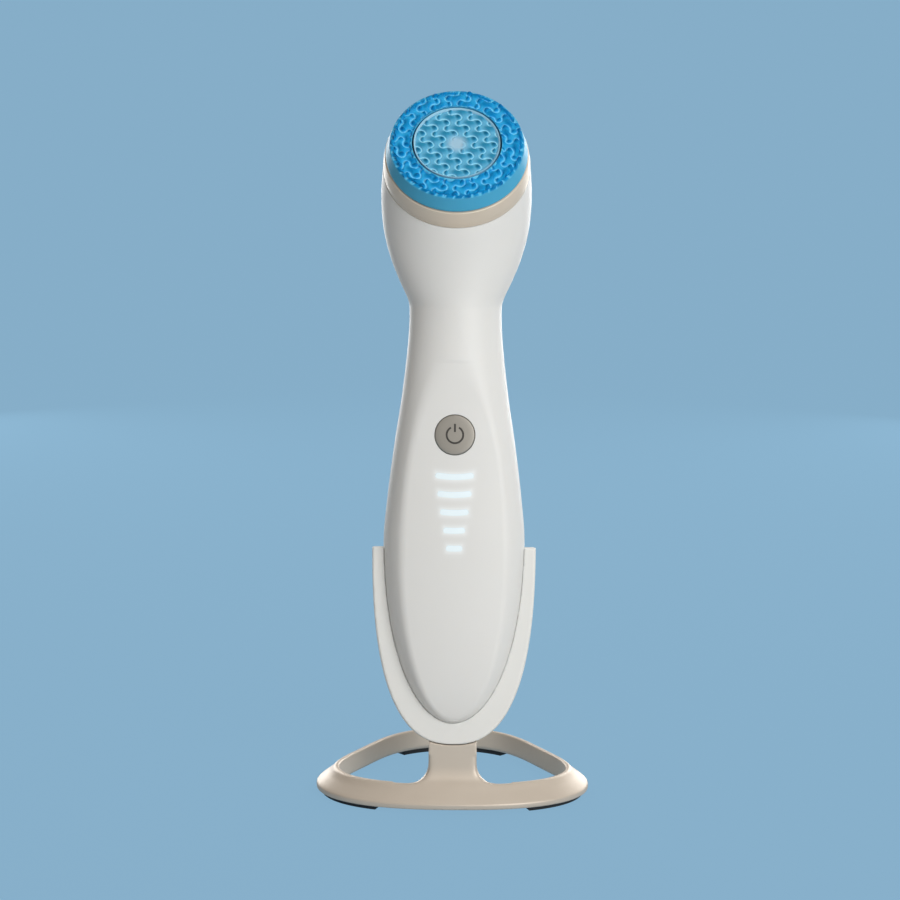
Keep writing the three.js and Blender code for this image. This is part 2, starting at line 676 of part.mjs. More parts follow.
function innerCap() {
  const cap = revolve([[0, brushBase], [splitRadius, brushBase], [splitRadius, brushTop - 0.5], [splitRadius - 0.5, brushTop], [0, brushTop]], 40);
  const recess = rod(splitRadius - skinThickness, brushBase - 1, carrierHigh + gap, 32);
  const bossRecess = rod(innerBossRadius + gap, brushBase - 1, squareTop + 0.9 + gap, 24);
  const ridges = [];
  const reach = splitRadius / innerRow;
  for (let row = -Math.floor(reach); row <= reach; row++) {
    for (let step = -Math.ceil(reach); step <= reach; step++) {
      const x = (step + (row % 2 ? 0.5 : 0)) * innerPitch;
      const y = row * innerRow;
      const far = Math.hypot(x, y);
      if (far < splitRadius - 2.1 && far > smoothCentre + 1.6) ridges.push(ridge(3.7, 0.62).translate([x, y, 0]));
    }
  }
  return cap.subtract(recess).subtract(bossRecess).add(unite(...ridges).rotate([0, 0, 45]));
}

function innerCarrier() {
  const disc = rod(splitRadius - skinThickness - gap, carrierLow, carrierHigh, 32);
  const boss = rod(innerBossRadius, brushBase - 0.9, squareTop + 0.9, 24);
  const half = driveSquare / 2 + gap;
  return disc.add(boss).subtract(box(-half, half, -half, half, 0, squareTop + gap));
}

// ---------------------------------------------------------------- cradle
// The cradle's outside before it is opened, grown by an offset.
function cradleBlank(grow) {
  const rings = 14;
  const skinPoint = (u, v, target) => {
    const ring = Math.round(v * (rings + 1));
    if (ring > rings) return target.set(0, 0, cradleZ);
    const t = Math.sin((Math.PI / 2) * (1 - ring / rings) ** 0.75);
    const z = cradleZ - (cradleDrop + grow) * t;
    const half = (cradleHalfWidth + grow) * (1 - t ** cradlePower) ** (1 / cradlePower);
    const reach = (cradleDepth + grow) * (1 - t ** 4) ** (1 / 4);
    const [c, s] = [Math.cos(u * 2 * Math.PI), Math.sin(u * 2 * Math.PI)];
    const bend = (value) => Math.sign(value) * Math.abs(value) ** (2 / 2.4);
    return target.set(half * bend(c), reach * bend(s), z);
  };
  return toSolid(new ParametricGeometry(skinPoint, 32, rings + 1));
}

// Side view of what is kept: behind the leaning rim, below the arms' tips and the dipped back.
const cradleSide = [
  [cradleRimLowDepth, cradleZ - cradleDrop - 1],
  [cradleRimTopDepth, cradleTopZ],
  [-5, cradleTopZ],
  [-8, cradleTopZ - 1],
  [-11, cradleTopZ - cradleDip * 0.4],
  [-14, cradleTopZ - cradleDip * 0.85],
  [-17, cradleTopZ - cradleDip],
  [-cradleDepth - 2, cradleTopZ - cradleDip],
  [-cradleDepth - 2, cradleZ - cradleDrop - 1],
].reverse();

function cradle() {
  const hollow = housing(-cradleClearance, 26, 28);
  const blank = cradleBlank(0).subtract(hollow).intersect(sideways(cradleSide, cradleHalfWidth + 2));
  return blank.subtract(unite(...[-1, 1].map((side) => cradleScrewBore(side, screwTop + gap))));
}

const cradleScrewBore = (side, high) =>
  rod(cradleScrewRadius + gap, -30, high, 20).translate([side * cradleScrewX, -cradleScrewDepth, 0]);

function cradleScrew(side) {
  const head = rod(2, screwSeat - 1.7, screwSeat, 24);
  const shank = rod(cradleScrewRadius, screwSeat - 0.2, screwTop, 20);
  const hex = prism(hexagon(1), screwSeat - 3, screwSeat - 0.8);
  return head.add(shank).subtract(hex).translate([side * cradleScrewX, -cradleScrewDepth, 0]);
}

function hexagon(radius) {
  const corners = Array.from({ length: 6 }, (_, i) => (i * Math.PI) / 3);
  return new THREE.Shape(corners.map((angle) => new THREE.Vector2(radius * Math.cos(angle), radius * Math.sin(angle))));
}

// ---------------------------------------------------------------- hoop base
// The hoop's outer edge in plan, seen from above; the angle runs from the front, towards the right.
function hoopPoint(angle) {
  const radius = hoopRadius - hoopLobe * Math.cos(3 * angle) + hoopOval * Math.cos(2 * angle);
  return new THREE.Vector2(radius * hoopStretch * Math.sin(angle), hoopY - radius * Math.cos(angle));
}

// A point a distance inwards from the outer edge.
function hoopInset(angle, inward) {
  const along = hoopPoint(angle + 1e-3).sub(hoopPoint(angle - 1e-3)).normalize();
  return hoopPoint(angle).add(new THREE.Vector2(-along.y, along.x).multiplyScalar(inward));
}

// The bar's section: distance inwards from the outer edge, and height.
const hoopUnder = footHeight;
const hoopTop = hoopUnder + hoopHeight;
const hoopSection = [
  [0.35, hoopUnder],
  [hoopWidth - 0.8, hoopUnder],
  [hoopWidth, hoopUnder + 0.8],
  [hoopWidth - 0.35, hoopTop - 0.3],
  [hoopWidth - 0.65, hoopTop],
  [hoopWidth - 0.65 - hoopRidge, hoopTop - 0.1],
  [hoopWidth * 0.55, hoopTop - 1.9],
  [0.9, hoopUnder + hoopLip + 0.8],
  [0, hoopUnder + hoopLip],
  [0, hoopUnder + 0.35],
];

function hoop() {
  const count = hoopSection.length;
  const surface = (u, v, target) => {
    const [inward, z] = hoopSection[Math.round(v * count) % count];
    const plan = hoopInset(-u * 2 * Math.PI, inward);
    return target.set(plan.x, plan.y, z);
  };
  return toSolid(new ParametricGeometry(surface, 60, count));
}

function neckFront() {
  const [x, foot, r] = [neckHalfWidth, neckFoot, neckFillet];
  const shape = new THREE.Shape();
  shape.moveTo(-x, neckTop);
  shape.lineTo(-x, foot + r * 0.85);
  shape.absellipse(-x - r, foot + r * 0.85, r, r * 0.85, 0, -Math.PI / 2, true);
  shape.lineTo(-x - r, foot - 4);
  shape.lineTo(x + r, foot - 4);
  shape.lineTo(x + r, foot);
  shape.absellipse(x + r, foot + r * 0.85, r, r * 0.85, -Math.PI / 2, -Math.PI, true);
  shape.lineTo(x, neckTop);
  return shape;
}

// Side view of the neck: its face runs on from the bar's slope and sweeps up, its back slopes under the cradle.
const hoopFront = hoopRadius + hoopOval; // from the middle to the front edge
const seatDepth = -seatY;
const neckSide = [
  [hoopFront - 6.3, hoopTop - 2.9],
  [hoopFront - 6.1, hoopTop - 0.15],
  [hoopFront - 6.9, hoopTop + 0.75],
  [hoopFront - 7.6, hoopTop + 2.15],
  [hoopFront - 8.1, hoopTop + 4.15],
  [seatDepth + 8.6, 15.5],
  [seatDepth + 8.05, 20],
  [seatDepth + 7.4, neckTop],
  [seatDepth - 9, neckTop],
  [seatDepth - 7, 20],
  [seatDepth, 14.5],
  [hoopFront - 11.6, hoopTop + 2.25],
  [hoopFront - 8.7, hoopTop],
  [hoopFront - 7.4, hoopTop - 2.9],
];

function baseHoop() {
  const neck = forward(neckFront(), 0, beyond, 10).intersect(sideways(neckSide, hoopRadius));
  const seat = toWorld(cradleBlank(gap));
  const seats = [-1, 1].map((side) => {
    const wide = rod(2.3, -40, screwSeat + gap, 24).translate([side * cradleScrewX, -cradleScrewDepth, 0]);
    return toWorld(wide.add(cradleScrewBore(side, 5)));
  });
  return hoop().add(neck).subtract(seat).subtract(unite(...seats));
}

function foot(centre) {
  const steps = 10;
  const angles = Array.from({ length: steps + 1 }, (_, i) => centre + footSpan * ((2 * i) / steps - 1));
  const outer = angles.map((angle) => hoopInset(angle, footInset));
  const inner = angles.map((angle) => hoopInset(angle, footInset + footWidth)).reverse();
  return prism(new THREE.Shape([...outer, ...inner]), 0, footHeight - gap);
}

// ---------------------------------------------------------------- assembly
const left = -1;
const right = 1;
const planets = planetAngles.flatMap((angle, i) => [
  headPiece(`planet_gear_${i + 1}`, planetGear(angle), acetal),
  headPiece(`planet_pin_${i + 1}`, planetPin(angle), steel),
]);

const assembly = new THREE.Group();
assembly.name = "facial_cleansing_brush";
assembly.add(
  piece("base_hoop", baseHoop(), champagne),
  handsetPiece("cradle_shell", cradle(), whitePlastic),
  piece("foot_right", foot(frontFeet), rubber),
  piece("foot_back", foot(Math.PI), rubber),
  piece("foot_left", foot(-frontFeet), rubber),
  handsetPiece("cradle_screw_left", cradleScrew(left), steel),
  handsetPiece("cradle_screw_right", cradleScrew(right), steel),
  handsetPiece("front_shell", frontShell(), whitePlastic),
  handsetPiece("rear_shell", rearShell(), whitePlastic),
  handsetPiece("chassis", chassis(), darkPlastic),
  handsetPiece("circuit_board", circuitBoard(), boardGreen),
  handsetPiece("battery_cell", batteryCell(), cellWrap),
  handsetPiece("switch_dome", switchDome(), steel),
  handsetPiece("power_button", powerButton(), champagne),
  handsetPiece("light_guide", lightGuide(), clearPlastic),
  handsetPiece("contact_stud_left", contactStud(left), brass),
  handsetPiece("contact_stud_right", contactStud(right), brass),
  ...bossPlaces.map(([place, x, z]) => handsetPiece(`shell_screw_${place}`, shellScrew(x, z), steel)),
  headPiece("trim_ring", trimRing(), champagne),
  headPiece("lip_seal", lipSeal(), rubber),
  headPiece("gear_plate", gearPlate(), darkPlastic),
  headPiece("motor", motor(), steel),
  headPiece("outer_hub", outerHub(), acetal),
  headPiece("spindle", spindle(), steel),
  headPiece("spindle_bush", spindleBush(), brass),
  ...planets,
  headPiece("outer_cap", outerCap(), blueSilicone),
  headPiece("outer_carrier", outerCarrier(), whitePlastic),
  headPiece("inner_cap", innerCap(), paleSilicone),
  headPiece("inner_carrier", innerCarrier(), whitePlastic),
);

export default assembly;
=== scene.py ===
# %% [markdown]
# # A facial cleansing brush in its stand
# The CAD model is the frame: it fixes every size and every joint. This lesson dresses it. Each visible
# surface is built again as a fine mesh in mesh code, in millimetres, and placed with the same axes as
# the CAD. Each finish is worked out from what the real material is.

# %% Load the frame
import json
import math

import bpy
import numpy as np
from mathutils import Matrix, Vector


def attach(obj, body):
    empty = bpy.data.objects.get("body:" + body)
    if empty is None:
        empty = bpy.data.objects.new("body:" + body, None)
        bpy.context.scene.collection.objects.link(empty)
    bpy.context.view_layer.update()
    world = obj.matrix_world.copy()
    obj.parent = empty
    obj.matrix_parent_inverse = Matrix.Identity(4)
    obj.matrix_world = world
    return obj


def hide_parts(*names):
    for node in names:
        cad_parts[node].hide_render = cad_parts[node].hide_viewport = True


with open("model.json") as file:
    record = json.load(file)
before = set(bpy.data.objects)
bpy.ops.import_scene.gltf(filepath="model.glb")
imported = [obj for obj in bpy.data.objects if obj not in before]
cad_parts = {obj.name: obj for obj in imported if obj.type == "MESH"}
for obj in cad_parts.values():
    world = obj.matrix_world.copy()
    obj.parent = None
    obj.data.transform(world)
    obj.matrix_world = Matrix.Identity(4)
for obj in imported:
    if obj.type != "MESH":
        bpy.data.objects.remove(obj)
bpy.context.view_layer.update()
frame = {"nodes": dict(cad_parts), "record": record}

MM = 0.001

# %% [markdown]
# ## Axes
# The joints say where things are. The handset slides out of its cradle along its own length, and the
# brush head turns about its own axis. Two matrices follow from that: one from the handset's millimetres
# into the world, and one from the head's. In both, x runs to the right and y runs to the back.

# %% Matrices for the handset and the head
HEAD_Z = 173.2  # the rim under the trim ring, up the handset
HEAD_DEPTH = 5.8
joints = {joint["name"]: joint for joint in frame["record"]["behaviour"]["joints"]}


def axes_along(axis, origin):
    """Matrix whose z runs along axis and whose x stays level."""
    up = Vector(axis).normalized()
    side = Vector((1, 0, 0))
    turn = Matrix((side, up.cross(side), up)).transposed().to_4x4()
    return Matrix.Translation(origin) @ turn @ Matrix.Scale(MM, 4)


head_matrix = axes_along(joints["outer_spin"]["axis"], joints["outer_spin"]["pos_m"])
handset_matrix = axes_along(joints["handset_lift"]["axis"], (0, 0, 0))
head_in_handset = Vector((0, -HEAD_DEPTH, HEAD_Z))
handset_matrix.translation = head_matrix.translation - handset_matrix.to_3x3() @ head_in_handset
world_matrix = Matrix.Scale(MM, 4)
print("handset's end stands at", [round(v / MM, 1) for v in handset_matrix.translation])

# %% [markdown]
# ## Meshes from rows of points
# Most of these pieces are skins that run round an axis, so one helper turns a grid of points into a
# mesh. It can close the grid round or cap its ends.


# %% Grids, rounded profiles and turned pieces
def make_object(name, points, faces, matrix=world_matrix):
    mesh = bpy.data.meshes.new(name)
    mesh.from_pydata([matrix @ Vector(p) for p in points], [], faces)
    mesh.validate()
    mesh.update()
    made = bpy.data.objects.new(name, mesh)
    bpy.context.scene.collection.objects.link(made)
    return made


def smooth(piece, angle=35):
    """Smooth shading, with a crease wherever faces meet more sharply than angle."""
    piece.data.polygons.foreach_set("use_smooth", [True] * len(piece.data.polygons))
    piece.data.set_sharp_from_angle(angle=math.radians(angle))
    return piece


def grid_object(name, grid, matrix, loop=False, ends=False):
    """Rows of points, each closed round. loop joins the last row to the first; ends caps both."""
    rows, columns = grid.shape[:2]
    row, column = np.meshgrid(np.arange(rows if loop else rows - 1), np.arange(columns), indexing="ij")
    above, beside = (row + 1) % rows, (column + 1) % columns
    here, onward = row * columns, above * columns
    corners = [here + column, here + beside, onward + beside, onward + column]
    faces = np.stack(corners, axis=-1).reshape(-1, 4).tolist()
    if ends:
        faces += [list(range(columns))[::-1], [(rows - 1) * columns + i for i in range(columns)]]
    return make_object(name, grid.reshape(-1, 3).tolist(), faces, matrix)


def rounded(corners, steps=4):
    """A closed profile of (across, along, radius) corners, each turned into a quarter-like arc."""
    points = []
    for i, (x, y, radius) in enumerate(corners):
        here = np.array((x, y), float)
        before = np.array(corners[i - 1][:2], float) - here
        after = np.array(corners[(i + 1) % len(corners)][:2], float) - here
        if radius <= 0:
            points.append(here)
            continue
        start = here + before / np.linalg.norm(before) * radius
        end = here + after / np.linalg.norm(after) * radius
        for t in np.linspace(0, 1, steps + 1):
            points.append((1 - t) ** 2 * start + 2 * t * (1 - t) * here + t**2 * end)
    return np.array(points)


def revolved(across, along, angles):
    """Points of a profile carried round the z axis."""
    return np.stack([across * np.cos(angles), across * np.sin(angles), along + 0 * angles], axis=-1)


def turned(name, corners, matrix, segments=160, steps=4):
    """Turns a closed profile about the matrix's z axis."""
    profile = rounded(corners, steps)
    angles = np.linspace(0, 2 * np.pi, segments, endpoint=False)
    grid = revolved(profile[:, :1], profile[:, 1:], angles)
    return smooth(grid_object(name, grid, matrix, loop=True))


print("points on one rounded corner:", len(rounded([(0, 0, 1), (4, 0, 0), (4, 4, 0)])) - 2)

# %% [markdown]
# ## Nodes for materials
# A colour that people read off a chart is sRGB, and Blender's sockets want linear light, so one function
# converts it. Another adds a node, sets it and links it, which keeps each material to a few lines.


# %% Colour and node helpers
def linear(hex_colour):
    """An sRGB colour such as "E6E4DF" in linear light, with alpha 1."""
    values = [int(hex_colour[i : i + 2], 16) / 255 for i in (0, 2, 4)]
    return (*[v / 12.92 if v <= 0.04045 else ((v + 0.055) / 1.055) ** 2.4 for v in values], 1)


def add_node(tree, kind, sockets=None, **settings):
    """Adds a node. A socket, by name or place, gets a value or is linked to another node's output."""
    node = tree.nodes.new(kind)
    for key, value in settings.items():
        setattr(node, key, value)
    for key, value in (sockets or {}).items():
        if isinstance(value, bpy.types.NodeSocket):
            tree.links.new(value, node.inputs[key])
        else:
            node.inputs[key].default_value = value
    return node


def new_material(name):
    """An empty material, its tree and its object coordinates."""
    material = bpy.data.materials.new(name)
    material.use_nodes = True
    material.node_tree.nodes.clear()
    tree = material.node_tree
    return material, tree, add_node(tree, "ShaderNodeTexCoord").outputs["Object"]


def finish_material(tree, sockets):
    """Ends a tree in one Principled shader with these sockets."""
    shader = add_node(tree, "ShaderNodeBsdfPrincipled", sockets)
    add_node(tree, "ShaderNodeOutputMaterial", {"Surface": shader.outputs[0]})


def grain(tree, place, size_mm, strength, height_mm):
    """A bump of soft grains, size_mm across."""
    sockets = {"Vector": place, "Scale": 1 / (size_mm * MM), "Detail": 2}
    noise = add_node(tree, "ShaderNodeTexNoise", sockets)
    sockets = {"Height": noise.outputs[0], "Strength": strength, "Distance": height_mm * MM}
    return add_node(tree, "ShaderNodeBump", sockets).outputs[0]


def mottled(tree, place, size_mm, dark, light):
    """A colour that drifts between two hex values in patches size_mm across."""
    sockets = {"Vector": place, "Scale": 1 / (size_mm * MM), "Detail": 3}
    noise = add_node(tree, "ShaderNodeTexNoise", sockets)
    sockets = {0: noise.outputs[0], 6: linear(dark), 7: linear(light)}
    return add_node(tree, "ShaderNodeMix", sockets, data_type="RGBA").outputs[2]


print("linear mid grey:", round(linear("808080")[0], 3))

# %% [markdown]
# ## White ABS
# The handset and its cradle are injection-moulded ABS with a fine satin texture, cut into the mould by
# spark erosion. The grains are about 0.2 mm across and a few microns deep, so they only soften the
# highlight. ABS lets a little light into it, which keeps its shaded side warm.

# %% Moulded ABS
BODY_GRAIN = 0.22  # mm


def moulded_abs(name, dark, light, roughness, glow=False):
    material, tree, place = new_material(name)
    sockets = {
        "Base Color": mottled(tree, place, 40, dark, light),
        "Roughness": roughness,
        "IOR": 1.54,
        "Subsurface Weight": 0.12,
        "Subsurface Radius": (1.0, 0.85, 0.7),
        "Subsurface Scale": 1.2 * MM,
        "Normal": grain(tree, place, BODY_GRAIN, 0.25, 0.006),
    }
    # Painted glow: where the mesh holds a "glow" value, the plastic itself gives off light, standing in
    # for the bars' light scattered in it.
    if glow:
        reach = add_node(tree, "ShaderNodeAttribute", attribute_name="glow")
        sockets["Emission Color"] = linear("DDF3FF")
        sockets["Emission Strength"] = reach.outputs["Fac"]
    finish_material(tree, sockets)
    return material


handset_abs = moulded_abs("white_moulded_abs", "DCDDDB", "E0E1DF", 0.5, glow=True)
cradle_abs = moulded_abs("cradle_moulded_abs", "DEDFDC", "E2E3E0", 0.52)
print("ABS grain in mm:", BODY_GRAIN)

# %% [markdown]
# ## Champagne lacquer on metal
# The hoop is a zinc casting and the trim ring a turned aluminium one. Both are sprayed with a champagne
# lacquer that holds fine aluminium flakes. So the finish is only partly metallic: the lacquer's own
# colour shows from every side, and the flakes, about 0.15 mm apart, spread the highlight into a sheen.

# %% Flake lacquer
FLAKE_SPACING = 0.15  # mm


def flake_lacquer(name, dark, light, roughness, metallic):
    material, tree, place = new_material(name)
    sockets = {
        "Base Color": mottled(tree, place, 12, dark, light),
        "Metallic": metallic,
        "Roughness": roughness,
        "Normal": grain(tree, place, FLAKE_SPACING, 0.3, 0.008),
    }
    finish_material(tree, sockets)
    return material


hoop_metal = flake_lacquer("champagne_lacquer_on_zinc", "C4B8A9", "CDC2B4", 0.46, 0.3)
trim_metal = flake_lacquer("champagne_lacquer_on_aluminium", "D9CAB6", "E0D2C0", 0.45, 0.15)
button_metal = flake_lacquer("grey_champagne_lacquer_on_aluminium", "938E85", "9C978E", 0.45, 0.45)
print("flakes' spacing in mm:", FLAKE_SPACING)

# %% [markdown]
# ## Silicone
# The brush faces are moulded from dyed silicone rubber, which is soft, matt and slightly see-through.
# Their light and shade is painted into the colour. The meshes of the faces keep each point's height as an
# attribute, and a colour ramp turns it into painted shade, darker and more saturated, in the deep pockets
# and a painted pale highlight on the thin ridges, which stands in for light coming through them.

# %% Silicone with painted shade and highlight
def silicone_with_painted_shade(name, shading_stops, plain):
    """shading_stops are (height from 0 in the pockets to 1 on the ridges, hex colour): painted shade low
    down, a painted highlight on top.

    plain is the two colours of the smooth parts.
    """
    material, tree, place = new_material(name)
    height = add_node(tree, "ShaderNodeAttribute", attribute_name="relief")
    share = add_node(tree, "ShaderNodeAttribute", attribute_name="plain")
    ramp = add_node(tree, "ShaderNodeValToRGB", {"Fac": height.outputs["Fac"]})
    while len(ramp.color_ramp.elements) < len(shading_stops):
        ramp.color_ramp.elements.new(0.5)
    for element, (position, colour) in zip(ramp.color_ramp.elements, shading_stops):
        element.position, element.color = position, linear(colour)
    smooth_tone = mottled(tree, place, 5, *plain)
    sockets = {0: share.outputs["Fac"], 6: ramp.outputs["Color"], 7: smooth_tone}
    tone = add_node(tree, "ShaderNodeMix", sockets, data_type="RGBA")
    sockets = {
        "Base Color": tone.outputs[2],
        "Roughness": 0.42,
        "IOR": 1.41,
        "Specular IOR Level": 0.15,
        "Subsurface Weight": 0.2,
        "Subsurface Radius": (0.4, 0.8, 1.0),
        "Subsurface Scale": 0.6 * MM,
        "Normal": grain(tree, place, 0.3, 0.15, 0.01),
    }
    finish_material(tree, sockets)
    return material


# Dark stops paint shade into the pockets and pale stops paint a highlight on the ridges; the plain pair
# is the smooth parts' colour.
outer_silicone = silicone_with_painted_shade(
    "blue_silicone",
    [(0.0, "006CAA"), (0.45, "0890CC"), (0.75, "2CA8E0"), (1.0, "70D2F8")],
    ("4AA6CE", "50ACD3"),
)
inner_silicone = silicone_with_painted_shade(
    "pale_aqua_silicone",
    [(0.0, "0C6890"), (0.35, "2F90B6"), (0.78, "62B2D6"), (1.0, "9CE0F6")],
    ("9AC2DA", "A6CCE2"),
)
print("silicones:", outer_silicone.name, inner_silicone.name)

# %% [markdown]
# ## Small parts
# The feet and the lip seal are black rubber. The light bars are clear acrylic, lit from behind by cool
# white diodes. With the brush head pulled off, a natural acetal hub, a brass bush and the end of a turned
# steel spindle show. The rest of the drive, in acetal, steel and glass-filled nylon, stays hidden. Each
# needs only its base colour and a fine surface.

# %% Rubber, acrylic, acetal and steel
def plain_finish(name, dark, light, roughness, metallic=0.0, grain_mm=0.4, depth_mm=0.006):
    material, tree, place = new_material(name)
    sockets = {
        "Base Color": mottled(tree, place, 6, dark, light),
        "Roughness": roughness,
        "Metallic": metallic,
        "Normal": grain(tree, place, grain_mm, 0.3, depth_mm),
    }
    finish_material(tree, sockets)
    return material


def lit_acrylic():
    material, tree, place = new_material("lit_clear_acrylic")
    noise = add_node(tree, "ShaderNodeTexNoise", {"Vector": place, "Scale": 1 / (3 * MM)})
    sockets = {"Value": noise.outputs[0], "To Min": 0.08, "To Max": 0.14}
    strength = add_node(tree, "ShaderNodeMapRange", sockets)
    sockets = {
        "Base Color": linear("E4F2F8"),
        "Roughness": 0.2,
        "IOR": 1.49,
        "Emission Color": linear("EAF8FF"),
        "Emission Strength": strength.outputs[0],
    }
    finish_material(tree, sockets)
    return material


FINISHES = {
    "black_rubber": plain_finish("black_rubber", "141416", "1D1D20", 0.7, depth_mm=0.02),
    "steel": plain_finish("turned_steel", "B4B7BB", "C3C6CA", 0.28, 1.0, 0.08, 0.003),
    "brass": plain_finish("turned_brass", "C39B46", "CEA956", 0.3, 0.5, 0.08, 0.003),
    "acetal": plain_finish("natural_acetal", "E2DCCB", "EAE5D8", 0.4),
    "dark_plastic": plain_finish("glass_filled_nylon", "303338", "3B3E44", 0.55, depth_mm=0.015),
    "circuit_board": plain_finish("solder_mask", "1A5F3D", "226E48", 0.35),
    "cell_wrap": plain_finish("shrink_wrap", "2A7896", "3386A5", 0.3),
    "clear_plastic": lit_acrylic(),
    "white_plastic": cradle_abs,
    "champagne_metal": trim_metal,
    "blue_silicone": outer_silicone,
    "pale_silicone": inner_silicone,
}
for part in frame["record"]["subparts"]:
    node = frame["nodes"][part["node"]]
    node.data.materials.clear()
    node.data.materials.append(FINISHES[part["material_slot"]])
print("CAD nodes given a finish:", len(frame["nodes"]))


def dress(piece, material, body, slot, *nodes):
    """Gives a piece its material, lets it ride on its body, hides its CAD nodes, and prints its size."""
    piece.data.materials.clear()
    piece.data.materials.append(material)
    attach(piece, body)
    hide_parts(*nodes)
    size = [round(v / MM, 1) for v in piece.dimensions]
    print(piece.name, "faces:", len(piece.data.polygons), "size in mm:", size)


# %% [markdown]
# ## Camera, floor and light
# The stand-off is just under a metre with a long lens, a little above the brush's middle. The floor is a
# plain pale blue sheet that runs on behind, so it needs no backdrop. It shows its own colour to the
# camera and in reflections, keeps a faint contact shadow, and lights the object as a neutral grey would.

# %% Camera
ELEVATION = math.radians(10.2)
DISTANCE = 962  # mm
AIM = Vector((-1.5, -0.64, 109.6))  # mm
ROLL = math.radians(0.4)
LENS, SENSOR = 120, 36  # mm
camera = bpy.data.objects.new("camera", bpy.data.cameras.new("camera"))
camera.data.lens, camera.data.sensor_width = LENS, SENSOR
away = Vector((0, -math.cos(ELEVATION), math.sin(ELEVATION)))
turn = (-away).to_track_quat("-Z", "Y").to_matrix().to_4x4() @ Matrix.Rotation(ROLL, 4, "Z")
camera.matrix_world = Matrix.Translation((AIM + away * DISTANCE) * MM) @ turn
camera.data.clip_start = 0.01
bpy.context.scene.collection.objects.link(camera)
bpy.context.scene.camera = camera
print("camera at", [round(v, 3) for v in camera.matrix_world.translation])

# %% Floor
FLOOR_BLUE, FLOOR_NEUTRAL = "88B0CB", "B9BBBD"
FLOOR_SHADED = 0.05  # share of the blue that takes light and shadow
FLOOR_REACH = 30000  # mm from the middle to each edge


def floor_material():
    material, tree, place = new_material("pale_paper_sweep")
    path = add_node(tree, "ShaderNodeLightPath")
    seen = path.outputs["Is Camera Ray"]
    for ray in ("Is Glossy Ray", "Is Transmission Ray"):
        sockets = {0: seen, 1: path.outputs[ray]}
        seen = add_node(tree, "ShaderNodeMath", sockets, operation="MAXIMUM").outputs[0]
    flat = add_node(tree, "ShaderNodeEmission", {"Color": linear(FLOOR_BLUE), "Strength": 1.0})
    shaded = add_node(tree, "ShaderNodeBsdfDiffuse", {"Color": linear(FLOOR_BLUE)})
    neutral = add_node(tree, "ShaderNodeBsdfDiffuse", {"Color": linear(FLOOR_NEUTRAL)})
    sockets = {0: FLOOR_SHADED, 1: flat.outputs[0], 2: shaded.outputs[0]}
    paper = add_node(tree, "ShaderNodeMixShader", sockets)
    sockets = {0: seen, 1: neutral.outputs[0], 2: paper.outputs[0]}
    both = add_node(tree, "ShaderNodeMixShader", sockets)
    add_node(tree, "ShaderNodeOutputMaterial", {"Surface": both.outputs[0]})
    return material


sheet = [(x * FLOOR_REACH, y * FLOOR_REACH, 0) for x, y in ((-1, -1), (1, -1), (1, 1), (-1, 1))]
floor = make_object("floor", sheet, [(0, 1, 2, 3)])
floor.data.materials.append(floor_material())
print("floor sheet, m across:", 2 * FLOOR_REACH * MM)

# %% [markdown]
# ## Studio light
# One large soft box in front on the right is the strongest. A weaker one stands on the right and further
# back, one hangs above, and two narrow ones stand behind and draw a bright edge on each side. The room
# round it is warm white, except for a dark brown wall on the left, which darkens what faces it.

# %% Lamps and room
MIDDLE = (0, 0, 110)  # mm, where every lamp points


def soft_box(name, place, size, watts):
    """An area lamp at a place in mm, size mm across and high."""
    lamp = bpy.data.lights.new(name, "AREA")
    lamp.shape, lamp.size, lamp.size_y = "RECTANGLE", size[0] * MM, size[1] * MM
    lamp.energy = watts
    holder = bpy.data.objects.new(name, lamp)
    place, aim = Vector(place) * MM, Vector(MIDDLE) * MM
    turn = (aim - place).to_track_quat("-Z", "Y").to_matrix().to_4x4()
    holder.matrix_world = Matrix.Translation(place) @ turn
    bpy.context.scene.collection.objects.link(holder)


soft_box("key_front_right", (475, -820, 420), (500, 600), 6.0)
soft_box("side_right", (480, 420, 300), (200, 400), 0.6)
soft_box("rim_right", (300, 640, 260), (200, 480), 1.9)
soft_box("rim_left", (-300, 640, 260), (200, 480), 2.1)
soft_box("top", (40, -60, 900), (500, 500), 0.6)

ROOM_WHITE, WALL_BROWN, ROOM_STRENGTH = "FFF9F2", "6A5344", 0.45
WALL_FULL, WALL_EDGE = -0.97, -0.7  # x of the directions where the wall is full and where it ends

world = bpy.data.worlds.new("studio")
bpy.context.scene.world = world
world.use_nodes = True
studio = world.node_tree
direction = add_node(studio, "ShaderNodeTexCoord").outputs["Generated"]
across = add_node(studio, "ShaderNodeSeparateXYZ", {0: direction}).outputs[0]
sockets = {"Value": across, "From Min": WALL_FULL, "From Max": WALL_EDGE}
open_side = add_node(studio, "ShaderNodeMapRange", sockets).outputs[0]
sockets = {0: open_side, 6: linear(WALL_BROWN), 7: linear(ROOM_WHITE)}
room = add_node(studio, "ShaderNodeMix", sockets, data_type="RGBA")
studio.links.new(room.outputs[2], studio.nodes["Background"].inputs["Color"])
studio.nodes["Background"].inputs["Strength"].default_value = ROOM_STRENGTH
bpy.context.scene.view_settings.view_transform = "Standard"
print("lamps:", len(bpy.data.lights))

# %% [markdown]
# ## The handset's housing
# Real housings like this are drawn as a few sections joined by a smooth skin, and so is this one. Each
# section is a squarish oval set across the side profile, and a Catmull-Rom curve runs through them. The
# lower end closes in on itself, and the front is flattened inside a long oval. The mesh is fine enough
# for the oval's soft edge to catch the light.

# %% The skin's sections
HANDLE_Z = 55.0
HANDLE_HALF_WIDTH = 22.4
HANDLE_DEPTH = 17.0
END_LENGTH = 57.5
END_WIDTH_POWER = 2.12
END_DEPTH_POWER = 3.6
HEAD_TILT = math.radians(58.5)
HEAD_RADIUS = 23.3
RIM_DROP, RIM_REACH = HEAD_RADIUS * math.sin(HEAD_TILT), HEAD_RADIUS * math.cos(HEAD_TILT)
RIM_FRONT = (HEAD_Z - RIM_DROP, HEAD_DEPTH + RIM_REACH)
RIM_BACK = (HEAD_Z + RIM_DROP, HEAD_DEPTH - RIM_REACH)
